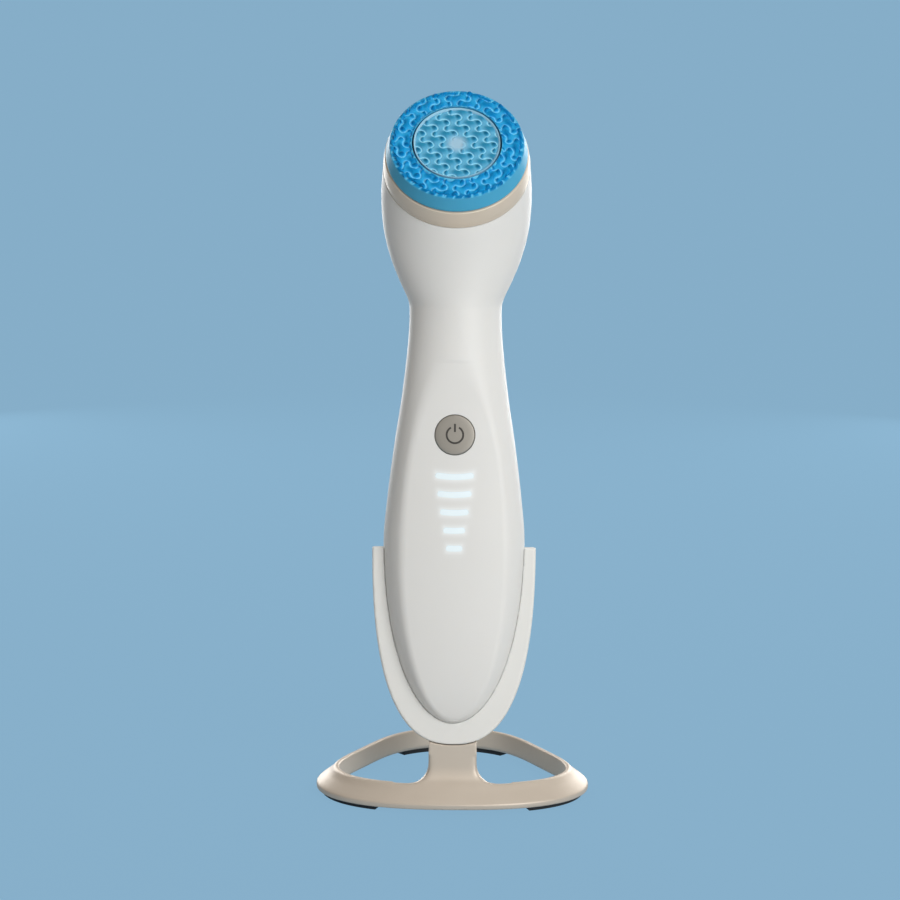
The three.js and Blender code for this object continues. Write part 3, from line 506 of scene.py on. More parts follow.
# Front z, front depth, back z, back depth, half-width and squareness of each section.
SECTIONS = np.array(
    [
        (HANDLE_Z, HANDLE_DEPTH, HANDLE_Z, -HANDLE_DEPTH, HANDLE_HALF_WIDTH, 2.2),
        (70, 16.9, 70, -16.6, 21.2, 2.2),
        (86, 16, 86, -15.6, 19.2, 2.2),
        (100, 14.3, 100, -14.3, 17.1, 2.2),
        (112, 12.9, 113, -13.3, 15.6, 2.15),
        (120.5, 12.35, 123.5, -13, 14.8, 2.1),
        (127, 12.4, 132, -13.8, 14.7, 2.05),
        (130, 12.6, 136, -14.7, 15.5, 2),
        (134, 13.1, 142.5, -16.4, 17.9, 2),
        (138.8, 14, 152, -18.5, 20.7, 2),
        (143.5, 15.1, 163, -19.3, 22.8, 2),
        (147.7, 16.3, 174, -17.8, 23.75, 2),
        (150.9, 17.3, 184, -13.4, 23.85, 2),
        (*RIM_FRONT, *RIM_BACK, HEAD_RADIUS, 2),
    ]
)
print("sections up the handset:", len(SECTIONS))


def end_section(place, inset):
    """A section of the rounded lower end; place runs from -1 at the tip to 0."""
    drop = math.sin(-place * math.pi / 2)
    z = HANDLE_Z - (END_LENGTH - inset) * drop
    narrow = (1 - drop**END_WIDTH_POWER) ** (1 / END_WIDTH_POWER)
    reach = (HANDLE_DEPTH - inset) * (1 - drop**END_DEPTH_POWER) ** (1 / END_DEPTH_POWER) + inset
    return np.array((z, reach, z, -reach, (HANDLE_HALF_WIDTH - inset) * narrow + inset, 2.2))


def catmull(a, b, c, d, t):
    """A point between b and c on the smooth curve through four points."""
    bend = (2 * a - 5 * b + 4 * c - d) * t**2
    return 0.5 * (2 * b + (c - a) * t + bend + (3 * b - a - 3 * c + d) * t**3)


def section_at(place, inset):
    """Place runs on from 0 at the widest section to 1 at the rim of the head."""
    if place < 0:
        return end_section(place, inset)
    last = len(SECTIONS) - 1
    i = min(int(place * last), last - 1)
    t = place * last - i
    b, c = SECTIONS[i], SECTIONS[i + 1]
    flip, shift = (-1, 1, -1, 1, 1, 1), (2 * HANDLE_Z, 0, 2 * HANDLE_Z, 0, 0, 0)
    mirrored = c * np.array(flip) + np.array(shift)
    a = mirrored if i == 0 else SECTIONS[i - 1]
    return catmull(a, b, c, SECTIONS[min(i + 2, last)], t)


# %% The flattened oval and the whole skin
OVAL_Z, OVAL_HALF_WIDTH, OVAL_UP, OVAL_DOWN, OVAL_CROWN = 50.0, 16.6, 62.0, 51.0, 1.2
OVAL_BLEND = 0.9  # mm over which the oval's edge is softened


def front_reach(x, z, reach, half, power):
    """How far the front stands out at each x, flattened inside the oval."""
    full = reach * np.maximum(1 - (np.abs(x) / half) ** power, 0) ** (1 / power)
    share = (z - OVAL_Z) / (OVAL_UP if z > OVAL_Z else OVAL_DOWN)
    square = OVAL_HALF_WIDTH**2 * (1 - share**2)
    if square <= 0:
        return full
    edge = max(1 - (square / half**2) ** (power / 2), 0) ** (1 / power)
    flat = reach * edge + OVAL_CROWN / OVAL_HALF_WIDTH**2 * (square - x**2)
    blend = min(OVAL_BLEND, reach / 8)
    near = np.maximum(blend - np.abs(full - flat), 0) / blend
    return np.minimum(full, flat) - blend / 4 * near**2


def section_ring(place, turns, inset):
    front_z, front, back_z, back, half, power = section_at(place, inset)
    span = math.hypot(front_z - back_z, front - back) or 1
    reach, side = max(span / 2 - inset, 1e-4), max(half - inset, 1e-4)
    c, s = np.cos(turns), np.sin(turns)
    x = side * np.sign(c) * np.abs(c) ** (2 / power)
    along = reach * np.sign(s) * np.abs(s) ** (2 / power)
    along = np.where(s > 1e-9, front_reach(x, front_z, reach, side, power), along)
    depth = (front + back) / 2 + along * (front - back) / span
    return np.stack([x, -depth, (front_z + back_z) / 2 + along * (front_z - back_z) / span], axis=-1)


def housing(name, inset, around, up, past=0.0):
    """The whole skin, drawn in by inset; past is how far it runs on beyond the rim."""
    turns = -np.linspace(0, 2 * np.pi, around, endpoint=False)
    low = -np.linspace(0.998, 0, int(up * 0.42), endpoint=False) ** 0.7
    places = np.concatenate([low, np.linspace(0, 1, up - len(low))])
    rings = [section_ring(place, turns, inset) for place in places]
    if past:
        onwards = np.array((0, -math.sin(HEAD_TILT), math.cos(HEAD_TILT))) * past
        rings.append(rings[-1] + onwards)
    return grid_object(name, np.stack(rings), handset_matrix, ends=True)


widest = section_ring(0, np.linspace(0, 2 * np.pi, 64, endpoint=False), 0)
print("handle's width and depth in mm:", np.ptp(widest[:, :2], axis=0).round(1))

# %% [markdown]
# ## The relief of the brush faces
# Both silicone faces are moulded with thin winding ridges, so that they lather and rub softly. They run
# side by side, 4.3 mm apart, and each one swings over a deep pocket and doubles back round a sliver,
# once in 5 mm. Between them the floor falls into a broader pocket. One period of one ridge is drawn as a
# closed curve through a few points, and the relief asks how far each point of a face is from it.

# %% Ridges and pockets
CELL_A, CELL_B = 4.32, 4.97  # mm, across the ridges and along them
INNER_RIDGE, OUTER_RIDGE = 1.1, 1.4  # mm from a deep pocket's floor to a ridge's top
INNER_HALF, OUTER_HALF = 0.3, 0.4  # mm, half the width of a ridge
INNER_FLOOR, OUTER_FLOOR = 0.78, 0.7  # level between the pockets
POCKET_FALL, RIDGE_FALL = 1.4, 2.6  # powers that set how steep their sides are
RIDGE_ACROSS = [-0.6, 0.35, 0.92, 0.85, 0.1, -1.1, -1.85, -1.95, -1.6]
RIDGE_ALONG = [-1.85, -1.45, -0.6, 0.5, 1.0, 1.0, 1.45, 2.3, 2.95]
# Place and half-sizes in mm, direction of the long half in degrees, and share of the floor's level.
POCKETS = [
    (0.0, 0.0, 1.0, 0.65, 77, 1.0),
    (-2.4, -1.2, 1.75, 1.0, 43, 0.65),
    (-1.15, 1.85, 0.85, 0.5, 122, 0.8),
]


def curve_through(points, period, steps=12):
    """Catmull-Rom points along a line that repeats after period."""
    points = np.array(points)
    line = []
    for i in range(len(points)):
        laps = [divmod(i + k, len(points)) for k in (-1, 0, 1, 2)]
        a, b, c, d = (points[place] + np.array(period) * lap for lap, place in laps)
        line += [catmull(a, b, c, d, t) for t in np.arange(steps) / steps]
    return line


ridge_points = curve_through(list(zip(RIDGE_ACROSS, RIDGE_ALONG)), (0, CELL_B))


def from_nearest(u, v, at_a, at_b):
    """Offset in mm from the nearest repeat of a place in the cell."""
    a, b = u - at_a / CELL_A + 0.5, v - at_b / CELL_B + 0.5
    return (a - np.floor(a) - 0.5) * CELL_A, (b - np.floor(b) - 0.5) * CELL_B


def relief(u, v, level, half):
    """Height from 0 to 1 at cell coordinates u, across the ridges, and v, along them.

    level is the floor's height and half a ridge's half width in mm.
    """
    height = level + np.zeros(u.shape)
    for at_a, at_b, long, wide, degrees, depth in POCKETS:
        a, b = from_nearest(u, v, at_a, at_b)
        c, s = math.cos(math.radians(degrees)), math.sin(math.radians(degrees))
        far = ((a * c + b * s) / long) ** 2 + ((b * c - a * s) / wide) ** 2
        height -= level * depth * np.exp(-(far**POCKET_FALL))
    near = np.full(u.shape, 9.0)
    for at_a, at_b in ridge_points:
        near = np.minimum(near, np.hypot(*from_nearest(u, v, at_a, at_b)))
    ridge = np.exp(-((near / half) ** RIDGE_FALL))
    return np.maximum(height, 0) * (1 - ridge) + ridge


print("points along one ridge's period:", len(ridge_points))

# %% [markdown]
# ## The inner disc and the outer ring
# Each face is a profile turned about the head's axis and pushed out along its own normal by the relief.
# The inner disc has a smooth spot in the middle. On the outer ring the rows run round in a spiral, with
# whole cells so that they meet. Small teeth stand at its edge, and all of it fades out on the rounded
# shoulder.

# %% Two silicone faces
SPLIT, BORE = 13.55, 14.1  # edges of the inner disc and of the outer ring's hole
FACE, BASE = 13.9, 7.45  # levels of the faces' floor and of the silicone's underside
CARRIER = 9.7  # top of the recess for the hard carrier
ROW_TURN = math.radians(30)
CELLS_ROUND, CELLS_RISE = 23, 11
SHOULDER, SHOULDER_BEND = 19.8, 1.2  # where the ring's face starts to turn down, and its radius there
TEETH, TOOTH_HALF, TOOTH_SLANT = 46, 0.5, 0.35  # their number, half width in mm, slant in teeth per mm
TOOTH_RISE = 0.4  # mm added to the ridges at the edge
EDGE_BEND = 0.3  # mm, radius of the edges along the gap between the faces
SPOT_FLAT, SPOT_END = 1.2, 4.2  # mm, radii where the smooth spot starts to fade and where it ends
CAP_WALL = 1.1  # mm of silicone beside the carrier


def disc_cells(x, y):
    c, s = math.cos(ROW_TURN), math.sin(ROW_TURN)
    a, b = x * c + y * s, x * s - y * c
    return relief(a / CELL_A + 0.71, b / CELL_B + 0.74, INNER_FLOOR, INNER_HALF)


def ring_cells(angle, out, level):
    share = angle / (2 * np.pi)
    u = share * CELLS_ROUND + out * math.sin(ROW_TURN) / CELL_A
    return relief(u, share * CELLS_RISE - out * math.cos(ROW_TURN) / CELL_B, level, OUTER_HALF)


def spaced(points, step):
    """Points at about every step along a polyline."""
    points = np.array(points, float)
    far = np.concatenate([[0], np.cumsum(np.linalg.norm(np.diff(points, axis=0), axis=1))])
    at = np.linspace(0, far[-1], int(far[-1] / step) + 2)
    return np.stack([np.interp(at, far, points[:, i]) for i in (0, 1)], axis=-1), at


def arc(x, z, radius, start, end, steps=8):
    angles = np.radians(np.linspace(start, end, steps))
    return [(x + radius * math.cos(a), z + radius * math.sin(a)) for a in angles]


def fade(value, start, end):
    t = np.clip((value - start) / (end - start), 0, 1)
    return t * t * (3 - 2 * t)


def store(piece, key, values):
    """Keeps one value for each point of a mesh, under a name that a material can read."""
    attribute = piece.data.attributes.new(key, "FLOAT", "POINT")
    attribute.data.foreach_set("value", values.ravel().astype(np.float32))


def relief_object(name, profile, rest, lift, tone, plainness, angles):
    """A profile pushed out along its normals by lift in mm; rest is the plain part of the profile."""
    slope = np.gradient(profile, axis=0)
    normal = np.stack([-slope[:, 1], slope[:, 0]], axis=-1) / np.linalg.norm(slope, axis=1)[:, None]
    moved = profile[:, None, :] + normal[:, None, :] * lift[:, :, None]
    plain = np.repeat(np.array(rest)[:, None, :], len(angles), axis=1)
    section = np.concatenate([moved, plain])
    grid = revolved(section[..., 0], section[..., 1], angles)
    made = smooth(grid_object(name, grid, head_matrix, loop=True), 60)
    # The height is kept as "relief", from which the material paints shade into the pockets and a
    # highlight onto the ridges.
    store(made, "relief", np.concatenate([tone, np.zeros(plain.shape[:2])]))
    store(made, "plain", np.concatenate([plainness + 0 * tone, np.ones(plain.shape[:2])]))
    return made


def inner_disc():
    angles = np.linspace(0, 2 * np.pi, 640, endpoint=False)
    edge = arc(SPLIT - EDGE_BEND, FACE - EDGE_BEND, EDGE_BEND, 0, 90)
    profile, _ = spaced([(SPLIT, FACE - 2), *edge, (0.02, FACE)], 0.12)
    radius = profile[:, :1]
    height = disc_cells(radius * np.cos(angles), radius * np.sin(angles))
    spot = 1 - fade(radius, SPOT_FLAT, SPOT_END)
    height += (0.8 - height) * spot
    # The rim is lifted and turned pale, a painted highlight along the disc's edge.
    rim = fade(radius, SPLIT - 0.7, SPLIT - 0.4)
    height += (0.95 - height) * rim
    lift = height * INNER_RIDGE * (1 - fade(radius, SPLIT - 0.2, SPLIT))
    recess = [(3.7, CARRIER), (SPLIT - CAP_WALL, CARRIER), (SPLIT - CAP_WALL, BASE)]
    rest = [(0.02, FACE - 2.2), (3.7, FACE - 2.2), *recess, (SPLIT, BASE)]
    return relief_object("inner_face", profile, rest, lift, height, np.maximum(spot, 0.6 * rim), angles)


def outer_ring():
    angles = np.linspace(0, 2 * np.pi, 1000, endpoint=False)
    edge = arc(BORE + EDGE_BEND, FACE - EDGE_BEND, EDGE_BEND, 180, 90)
    shoulder = arc(SHOULDER, FACE - SHOULDER_BEND, SHOULDER_BEND, 88, 15, 12)
    profile, out = spaced([(BORE, FACE - 2), *edge, *shoulder, (22.2, BASE + 0.9)], 0.13)
    out = out[:, None]
    start = 2 - EDGE_BEND  # length of the profile below the ring's inner edge
    end = out[np.argmin(np.abs(profile[:, 0] - SHOULDER - 1.1))][0]
    shown = fade(out, start, start + 0.4) * (1 - fade(out, end, end + 0.7))
    corner = [(22.3, BASE + 0.45), (22.25, BASE + 0.15), (22.0, BASE)]
    recess = [(20.9, BASE), (20.9, CARRIER), (BORE + CAP_WALL, CARRIER), (BORE + CAP_WALL, BASE)]
    rest = [*corner, *recess, (BORE, BASE)]
    near_edge = fade(out, end - 2.4, end - 1.0)
    level = OUTER_FLOOR * (1 - 0.45 * near_edge)  # the floor falls away between the teeth
    height = ring_cells(angles[None, :], out, level)
    from_tooth = (angles[None, :] * TEETH / (2 * np.pi) + TOOTH_SLANT * out) % 1 - 0.5
    from_tooth = np.abs(from_tooth) * 2 * np.pi * SHOULDER / TEETH
    tooth = np.exp(-((from_tooth / TOOTH_HALF) ** RIDGE_FALL))
    height = np.maximum(height, tooth * fade(out, end - 2.4, end - 1.4))
    lift = height * shown * (OUTER_RIDGE + TOOTH_RISE * near_edge)
    side = fade(out, end + 0.2, end + 0.8) + 1 - fade(out, start - 0.1, start + 0.3)
    turned_over = [part[::-1] for part in (profile, rest, lift, height, side)]
    return relief_object("outer_face", *turned_over, angles)


dress(inner_disc(), inner_silicone, "inner_head", "pale_silicone", "inner_cap")
dress(outer_ring(), outer_silicone, "outer_head", "blue_silicone", "outer_cap")

# %% [markdown]
# ## Two shells, with their holes
# A real housing is moulded as two shells with walls 2 mm thick. So the fine skin has a second skin taken
# out of it, and is then cut on the parting plane with a hairline gap. The button's hole, the five slots
# and the holes for the charging studs are cut last. Outlines are drawn in front view, and pushed back.

# %% Cutters and outlines in the handset's frame
BUTTON_Z, BUTTON_RADIUS, HOLE_GAP = 89.0, 6.3, 0.14
BAR_TOP_Z, BAR_PITCH, BAR_HEIGHT, BAR_BOW = 75.8, 5.62, 1.8, 32.0
SLOT_GAP, PARTING_GAP, STUD_GAP = 0.03, 0.07, 0.1  # mm on each side
WALL = 2  # mm
BAR_LENGTHS = [12.2, 10.8, 9.0, 6.9, 5.2]
# Painted glow on the plastic round the light bars: its strength beside a bar, and the mm over which it
# fades.
GLOW, GLOW_REACH = 0.18, 0.75  # beside a bar, and mm over which it fades
PARTING_DEPTH = -2.0
STUD_X, STUD_Z, STUD_RADIUS = 3.2, 66.0, 1.6


def bake(piece):
    """Makes a piece's modifiers part of its mesh."""
    bpy.context.view_layer.update()
    shown = piece.evaluated_get(bpy.context.evaluated_depsgraph_get())
    result = bpy.data.meshes.new_from_object(shown)
    piece.modifiers.clear()
    piece.data = result
    return piece


def carve(piece, cutter, operation="DIFFERENCE"):
    """Cuts one closed mesh with another, and drops the cutter."""
    change = piece.modifiers.new("carve", "BOOLEAN")
    change.object, change.operation, change.solver = cutter, operation, "MANIFOLD"
    bake(piece)
    bpy.data.objects.remove(cutter)
    return piece


def slab(name, low, high):
    """A box between two corners of (x, depth, z)."""
    x, d, z = zip(low, high)
    around = ((x[0], d[0]), (x[1], d[0]), (x[1], d[1]), (x[0], d[1]))
    points = [(a, -b, c) for c in z for a, b in around]
    faces = [(0, 1, 2, 3), (7, 6, 5, 4), (0, 4, 5, 1), (1, 5, 6, 2), (2, 6, 7, 3), (3, 7, 4, 0)]
    return make_object(name, points, faces, handset_matrix)


def pushed(name, outline, low, high, matrix=handset_matrix):
    """A front-view outline of (x, z) pushed from one depth to another."""
    x, z = np.array(outline).T
    rows = [np.stack([x, np.full(len(x), -depth), z], axis=-1) for depth in (low, high)]
    return grid_object(name, np.stack(rows), matrix, ends=True)


def disc_outline(x, z, radius, count=96):
    angles = np.linspace(0, 2 * np.pi, count, endpoint=False)
    return np.stack([x + radius * np.cos(angles), z + radius * np.sin(angles)], axis=-1)


def bar_outline(index, grow=0.0):
    """A pill bent round a circle, with its ends lifted."""
    half, thick = BAR_LENGTHS[index] / 2 + grow, BAR_HEIGHT / 2 + grow
    straight = half - thick
    turns = np.linspace(-np.pi / 2, np.pi / 2, 9)
    tips = np.stack([straight + thick * np.cos(turns), thick * np.sin(turns)], axis=-1)
    top = np.stack([np.linspace(straight, -straight, 14)[1:-1], np.full(12, thick)], axis=-1)
    flat = np.concatenate([tips, top, -tips, -top])
    angle, radius = flat[:, 0] / BAR_BOW, BAR_BOW - flat[:, 1]
    centre = BAR_TOP_Z - index * BAR_PITCH + BAR_BOW
    return np.stack([radius * np.sin(angle), centre - radius * np.cos(angle)], axis=-1)


print("light bars' lengths in mm:", BAR_LENGTHS)

# %% The shells
skin = housing("front_housing", 0, 360, 440)
carve(skin, housing("cavity", WALL, 96, 90, 6))
rear_housing = skin.copy()
rear_housing.name, rear_housing.data = "rear_housing", skin.data.copy()
bpy.context.scene.collection.objects.link(rear_housing)
front_housing = carve(skin, slab("behind", (-40, -60, -20), (40, PARTING_DEPTH + PARTING_GAP, 230)))
carve(rear_housing, slab("before", (-40, PARTING_DEPTH - PARTING_GAP, -20), (40, 60, 230)))
carve(front_housing, pushed("hole", disc_outline(0, BUTTON_Z, BUTTON_RADIUS + HOLE_GAP), 5, 22))
for i in range(len(BAR_LENGTHS)):
    carve(front_housing, pushed("slot", bar_outline(i, SLOT_GAP), 5, 22))
for x in (-STUD_X, STUD_X):
    carve(rear_housing, pushed("hole", disc_outline(x, STUD_Z, STUD_RADIUS + STUD_GAP, 48), -30, -8))


def bar_glow(piece, strength):
    """Painted glow: emission that stands in for the light the bars spill into the plastic, from strength
    beside them down to 0.
    """
    points = np.empty(len(piece.data.vertices) * 3, np.float32)
    piece.data.vertices.foreach_get("co", points)
    back = np.array(handset_matrix.inverted())
    points = points.reshape(-1, 3) @ back[:3, :3].T + back[:3, 3]
    x, z = points[:, 0], points[:, 2]
    glow = np.zeros(len(points))
    for i, length in enumerate(BAR_LENGTHS):
        centre = BAR_TOP_Z - i * BAR_PITCH + BAR_BOW
        radius = np.hypot(x, np.maximum(centre - z, 0))
        beyond = np.maximum(np.abs(x) - length / 2 + 0.3, 0)
        far = np.hypot(np.maximum(np.abs(radius - BAR_BOW) - BAR_HEIGHT / 2 + 0.1, 0), beyond)
        glow += np.exp(-((far / GLOW_REACH) ** 1.3))
    store(piece, "glow", glow * strength * (points[:, 1] < 0))


bar_glow(front_housing, GLOW)
bar_glow(rear_housing, 0)
for piece, node in ((front_housing, "front_shell"), (rear_housing, "rear_shell")):
    dress(smooth(piece, 28), handset_abs, "handset", "white_plastic", node)

# %% [markdown]
# ## Button and light bars
# The button follows the skin and stands 0.3 mm proud, with a rounded edge. The power sign is engraved in
# it and filled with dark enamel. The bars are one clear moulding that ends flush with the skin.

# %% Button
def front_depth(x, z):
    """How far forward the skin is at x and z on the straight part of the handle."""
    places = np.linspace(0, 3.9 / (len(SECTIONS) - 1), 120)
    place = np.interp(z, [section_at(p, 0)[0] for p in places], places)
    front_z, front, _, back, half, power = section_at(place, 0)
    flattened = front_reach(np.asarray(x, float), front_z, (front - back) / 2, half, power)
    return (front + back) / 2 + flattened


def face_grid(radii, drops, count=128):
    """Rings of points round the button's middle, each ring some way below the skin's level."""
    angles = np.linspace(0, 2 * np.pi, count, endpoint=False)
    rows = []
    for radius, drop in zip(radii, drops):
        x, z = radius * np.cos(angles), BUTTON_Z + radius * np.sin(angles)
        depth = np.array([front_depth(a, b) for a, b in zip(x, z)]) - drop
        rows.append(np.stack([x, -depth, z], axis=-1))
    return np.stack(rows)


PROUD, EDGE = 0.3, 0.42
turn = np.radians(np.linspace(0, 90, 7))
edge_radii = BUTTON_RADIUS - EDGE + EDGE * np.cos(turn)
radii = [BUTTON_RADIUS - 0.02, BUTTON_RADIUS, *edge_radii, 4.4, 2.6, 1, 0.02]
drops = [5.0, 2.4, *(EDGE - PROUD - EDGE * np.sin(turn)), -PROUD, -PROUD, -PROUD, -PROUD]
button = grid_object("power_key", face_grid(radii, drops), handset_matrix, ends=True)

SIGN_RADIUS, SIGN_LINE = 2.6, 0.3


def ring_outline(grow):
    """The broken ring of the power sign."""
    turns = np.linspace(np.pi * 0.66, np.pi * 2.34, 48)
    outer, inner = SIGN_RADIUS + SIGN_LINE + grow, SIGN_RADIUS - SIGN_LINE - grow
    line = np.stack([np.cos(turns), np.sin(turns)], axis=-1)
    return np.concatenate([outer * line, inner * line[::-1]]) + (0, BUTTON_Z)


def stroke_outline(grow):
    """Its upright bar."""
    half, low, high = SIGN_LINE + grow, BUTTON_Z + 0.9, BUTTON_Z + 3.5
    return [(-half, low - grow), (half, low - grow), (half, high + grow), (-half, high + grow)]


sign_depth = float(front_depth(0, BUTTON_Z)) + PROUD
enamel = []
for outline in (ring_outline, stroke_outline):
    carve(button, pushed("engraving", outline(0.0), sign_depth - 0.5, sign_depth + 3))
    enamel.append(pushed("enamel", outline(-0.02), sign_depth - 0.9, sign_depth - 0.22))
dark_enamel = plain_finish("dark_enamel", "3A3733", "45413C", 0.35)
dress(smooth(button, 30), button_metal, "power_button", "champagne_metal", "power_button")
for piece in enamel:
    dress(piece, dark_enamel, "power_button", "champagne_metal")
print("button stands", PROUD, "mm proud of a skin at depth", round(sign_depth - PROUD, 2))

# %% Light bars
inside = housing("bar_face", 0.03, 200, 240)
bars, *others = [pushed("bar", bar_outline(i), 8.2, 22) for i in range(len(BAR_LENGTHS))]
for other in others:
    carve(bars, other, "UNION")
carve(bars, inside, "INTERSECT")
bars.name = "light_bars"
dress(smooth(bars, 30), FINISHES["clear_plastic"], "handset", "clear_plastic", "light_guide")

# %% [markdown]
# ## Trim ring and studs
# The trim ring is turned, so it is a profile with small radii on its edges. It carries the lip seal
# inside. The two charging studs end flush in the back of the handle.

# %% Trim ring and charging studs
RIM_GAP = 0.16
trim = turned(
    "turned_trim",
    [
        (19.7, -1.6, 0.2),
        (20.4, -1.6, 0.2),
        (20.4, RIM_GAP, 0),
        (HEAD_RADIUS - 0.12, RIM_GAP, 0.3),
        (HEAD_RADIUS - 0.05, 2.5, 0.8),
        (22.62, 6.95, 0.35),
        (20.2, 7.05, 0.2),
        (20.2, 2.3, 0),
        (18.1, 2.3, 0.2),
        (18.1, RIM_GAP, 0.2),
        (19.7, RIM_GAP, 0),
    ],
    head_matrix,
    segments=256,
)
dress(trim, trim_metal, "handset", "champagne_metal", "trim_ring")
for side, x in (("left", -STUD_X), ("right", STUD_X)):
    stud = pushed("gold_stud_" + side, disc_outline(x, STUD_Z, STUD_RADIUS, 64), -30, -13)
    carve(stud, housing("stud_face", 0.05, 160, 160), "INTERSECT")
    dress(smooth(stud, 30), FINISHES["brass"], "handset", "brass", "contact_stud_" + side)

# %% [markdown]
# ## Cradle
# The cradle is a cup that hugs the handset's lower end, cut open in front on a leaning plane so that two
# arms are left, and dipped at the back. It is cut from fine skins, then voxelled and relaxed, which
# rounds its rim a little, as a moulding's rim is.

# %% Cradle shell
CRADLE_Z, CRADLE_DROP, CRADLE_POWER = 57.0, 66.0, 2.6
CRADLE_HALF_WIDTH, CRADLE_DEPTH = 26.0, 21.0
CRADLE_TOP, CRADLE_DIP, RIM_TOP, RIM_LOW = 53.3, 12.0, 3.4, 6.6
CLEARANCE = 0.03


def bent(value, power=2.4):
    return np.sign(value) * np.abs(value) ** (2 / power)


def cradle_blank(name, grow, around=200, rings=120):
    """The cradle's outside before it is opened, grown by an offset."""
    turns = np.linspace(0, 2 * np.pi, around, endpoint=False)
    rows = []
    for share in np.linspace(0.0015, 1, rings):
        t = math.sin(math.pi / 2 * (1 - share) ** 0.75)
        half = (CRADLE_HALF_WIDTH + grow) * max(1 - t**CRADLE_POWER, 1e-9) ** (1 / CRADLE_POWER)
        reach = (CRADLE_DEPTH + grow) * max(1 - t**4, 1e-9) ** 0.25
        z = np.full(around, CRADLE_Z - (CRADLE_DROP + grow) * t)
        rows.append(np.stack([half * bent(np.cos(turns)), reach * bent(np.sin(turns)), z], axis=-1))
    return grid_object(name, np.stack(rows), handset_matrix, ends=True)


def sideways(name, outline, half_width, matrix=handset_matrix):
    """A side-view outline of (depth, z) pushed out to both sides."""
    depth, z = np.array(outline).T
    rows = [np.stack([np.full(len(z), x), -depth, z], axis=-1) for x in (-half_width, half_width)]
    return grid_object(name, np.stack(rows), matrix, ends=True)


def soften(piece, rounds, group=""):
    """Evens a piece out, all over or only in one vertex group."""
    change = piece.modifiers.new("soften", "SMOOTH")
    change.factor, change.iterations, change.vertex_group = 0.5, rounds, group
    return smooth(bake(piece), 50)


def relax(piece, voxel_mm, rounds):
    """Turns a piece into small even faces and smooths its edges round."""
    remesh = piece.modifiers.new("remesh", "REMESH")
    remesh.mode, remesh.voxel_size = "VOXEL", voxel_mm * MM
    return soften(piece, rounds)


def soften_inside(piece, low, high, rounds):
    """Evens a piece out further inside a box between two corners in mm."""
    low, high = Vector(low) * MM, Vector(high) * MM
    points = enumerate(vertex.co for vertex in piece.data.vertices)
    inside = [i for i, point in points if all(a < c < b for a, c, b in zip(low, point, high))]
    piece.vertex_groups.new(name="blend").add(inside, 1.0, "REPLACE")
    return soften(piece, rounds, "blend")


CRADLE_LOW = CRADLE_Z - CRADLE_DROP - 1
# Side view of what is kept: behind the leaning rim, below the arms' tips and the dipped back.
CRADLE_SIDE = [
    (RIM_LOW, CRADLE_LOW),
    (RIM_TOP, CRADLE_TOP),
    (-5, CRADLE_TOP),
    (-8, CRADLE_TOP - 1),
    (-11, CRADLE_TOP - CRADLE_DIP * 0.4),
    (-14, CRADLE_TOP - CRADLE_DIP * 0.85),
    (-17, CRADLE_TOP - CRADLE_DIP),
    (-23, CRADLE_TOP - CRADLE_DIP),
    (-23, CRADLE_LOW),
]
cradle = cradle_blank("cradle", 0)
carve(cradle, housing("handset_room", -CLEARANCE, 200, 200))
carve(cradle, sideways("kept", CRADLE_SIDE, 28), "INTERSECT")
relax(cradle, 0.36, 3)
dress(cradle, cradle_abs, "stand", "white_plastic", "cradle_shell")

# %% [markdown]
# ## Hoop base
# The hoop is one casting with its neck. Seen from above, its edge is a circle pulled towards a triangle
# and an oval by two slow waves. Its bar has a flat ridge inside and slopes down to a thin outer lip. The
# neck is flat, flares out into the bar in front view, and sweeps back under the cradle.

# %% The hoop's plan and section
HOOP_RADIUS, HOOP_LOBE, HOOP_OVAL, HOOP_STRETCH = 37.7, 3.5, 2.0, 1.18
HOOP_WIDTH, HOOP_HEIGHT, HOOP_LIP, FOOT_HEIGHT = 7.6, 6.85, 1.7, 1.5
HOOP_TOP, HOOP_FRONT = FOOT_HEIGHT + HOOP_HEIGHT, HOOP_RADIUS + HOOP_OVAL


def hoop_point(angle, inward=0.0):
    """The hoop's outer edge in plan, or a point further in. The angle runs from front to right."""
    def edge(a):
        radius = HOOP_RADIUS - HOOP_LOBE * np.cos(3 * a) + HOOP_OVAL * np.cos(2 * a)
        x, y = radius * HOOP_STRETCH * np.sin(a), -HOOP_LOBE - radius * np.cos(a)
        return np.stack([x, y], axis=-1)

    along = edge(angle + 1e-3) - edge(angle - 1e-3)
    along /= np.linalg.norm(along, axis=-1, keepdims=True)
    return edge(angle) + inward * np.stack([-along[..., 1], along[..., 0]], axis=-1)


def swept_hoop(name, profile, angles, loop):
    """A profile of (inward, z) carried round the hoop."""
    rows = []
    for angle in angles:
        plan = np.array([hoop_point(np.array(angle), inward) for inward in profile[:, 0]])
        rows.append(np.concatenate([plan, profile[:, 1:]], axis=1))
    return grid_object(name, np.stack(rows)[:, ::-1], world_matrix, loop=loop, ends=not loop)


hoop_profile = rounded(
    [
        (0.1, FOOT_HEIGHT, 0.3),
        (HOOP_WIDTH - 0.8, FOOT_HEIGHT, 0.4),
        (HOOP_WIDTH, FOOT_HEIGHT + 0.9, 0.4),
        (HOOP_WIDTH - 0.35, HOOP_TOP, 0.35),
        (HOOP_WIDTH - 1.75, HOOP_TOP - 0.08, 0.6),
        (HOOP_WIDTH * 0.55, HOOP_TOP - 1.85, 0.8),
        (0.9, FOOT_HEIGHT + HOOP_LIP + 0.8, 0.35),
        (0, FOOT_HEIGHT + HOOP_LIP, 0.3),
    ]
)
hoop = swept_hoop("hoop", hoop_profile, np.linspace(0, 2 * np.pi, 360, endpoint=False), loop=True)
print("hoop's width in mm:", round(float(np.ptp([v.co.x for v in hoop.data.vertices])) / MM, 1))

# %% Neck
NECK_HALF, NECK_FOOT, NECK_FILLET, NECK_TOP = 7.6, 8.2, 6.0, 25.0
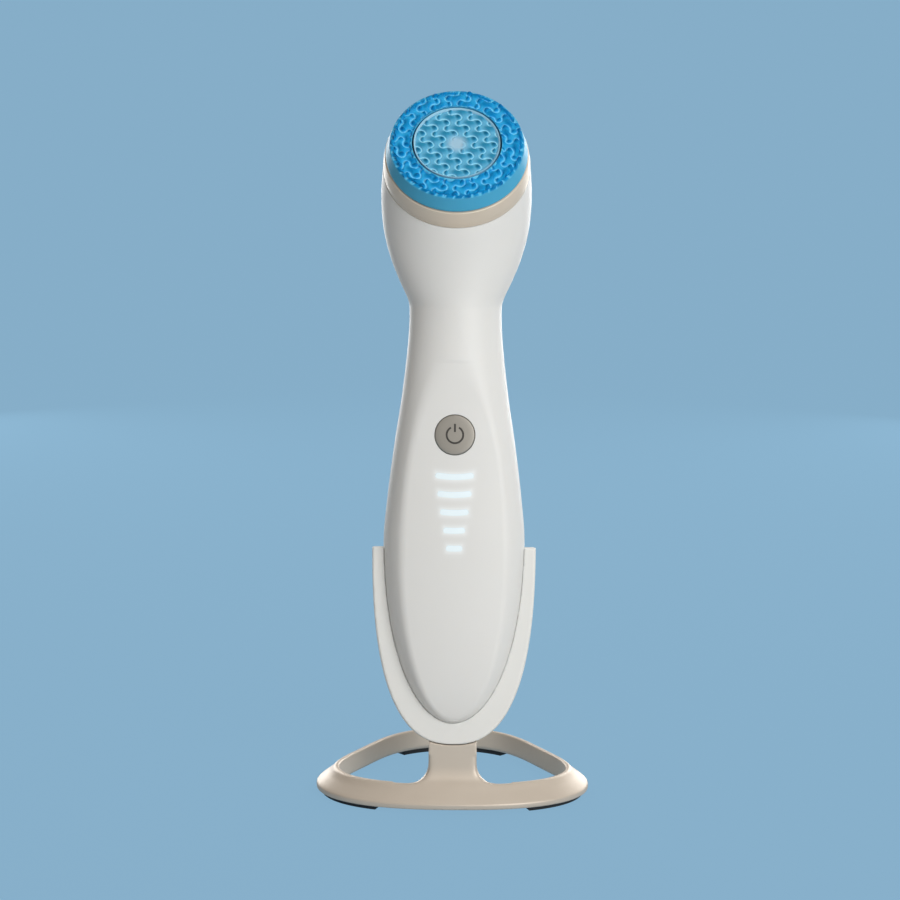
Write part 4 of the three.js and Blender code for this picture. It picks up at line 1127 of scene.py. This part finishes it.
# Front view of the neck: straight above, flared into the bar below.
turns = np.radians(np.linspace(0, 90, 24))
rise = NECK_FILLET * 0.85
x, z = NECK_HALF + NECK_FILLET * (1 - np.cos(turns)), NECK_FOOT + rise * (1 - np.sin(turns))
flare = np.stack([x, z], axis=-1)
side = np.concatenate([[(NECK_HALF, NECK_TOP)], flare, [(NECK_HALF + NECK_FILLET, NECK_FOOT - 4)]])
NECK_FRONT = np.concatenate([side, (side * (-1, 1))[::-1]])
# Side view of the neck as (depth, z). Its face rises from the ridge, its back slopes under the cradle.
NECK_SIDE = [
    (HOOP_FRONT - 6.3, HOOP_TOP - 2.9),
    (HOOP_FRONT - 6.1, HOOP_TOP - 0.15),
    (HOOP_FRONT - 6.9, HOOP_TOP + 0.75),
    (HOOP_FRONT - 7.6, HOOP_TOP + 2.15),
    (HOOP_FRONT - 8.1, HOOP_TOP + 4.15),
    (31.24, 15.5),
    (30.69, 20),
    (30.04, NECK_TOP),
    (13.64, NECK_TOP),
    (15.64, 20),
    (22.64, 14.5),
    (HOOP_FRONT - 11.6, HOOP_TOP + 2.25),
    (HOOP_FRONT - 8.7, HOOP_TOP),
    (HOOP_FRONT - 7.4, HOOP_TOP - 2.9),
]


neck = pushed("neck", NECK_FRONT, 45, 10, world_matrix)
carve(neck, sideways("neck_side", NECK_SIDE, 20, world_matrix), "INTERSECT")
carve(hoop, neck, "UNION")
carve(hoop, cradle_blank("cradle_seat", 0.2))
relax(hoop, 0.3, 2)
soften_inside(hoop, (-19, -40, 4.6), (19, -26, 17), 60)
dress(hoop, hoop_metal, "stand", "champagne_metal", "base_hoop")

# %% Feet
FOOT_INSET, FOOT_WIDTH, FOOT_SPAN, FRONT_FEET = 1.8, 4.4, 25, 58  # mm, mm, degrees, degrees
foot_profile = rounded(
    [
        (FOOT_INSET, 0.0, 0.35),
        (FOOT_INSET + FOOT_WIDTH, 0.0, 0.35),
        (FOOT_INSET + FOOT_WIDTH, FOOT_HEIGHT + 0.1, 0),
        (FOOT_INSET, FOOT_HEIGHT + 0.1, 0),
    ]
)
for side, centre in (("right", FRONT_FEET), ("back", 180), ("left", -FRONT_FEET)):
    span = np.radians(np.linspace(centre - FOOT_SPAN, centre + FOOT_SPAN, 60))
    foot = swept_hoop("pad_" + side, foot_profile, span, loop=False)
    dress(smooth(foot, 40), FINISHES["black_rubber"], "stand", "black_rubber", "foot_" + side)
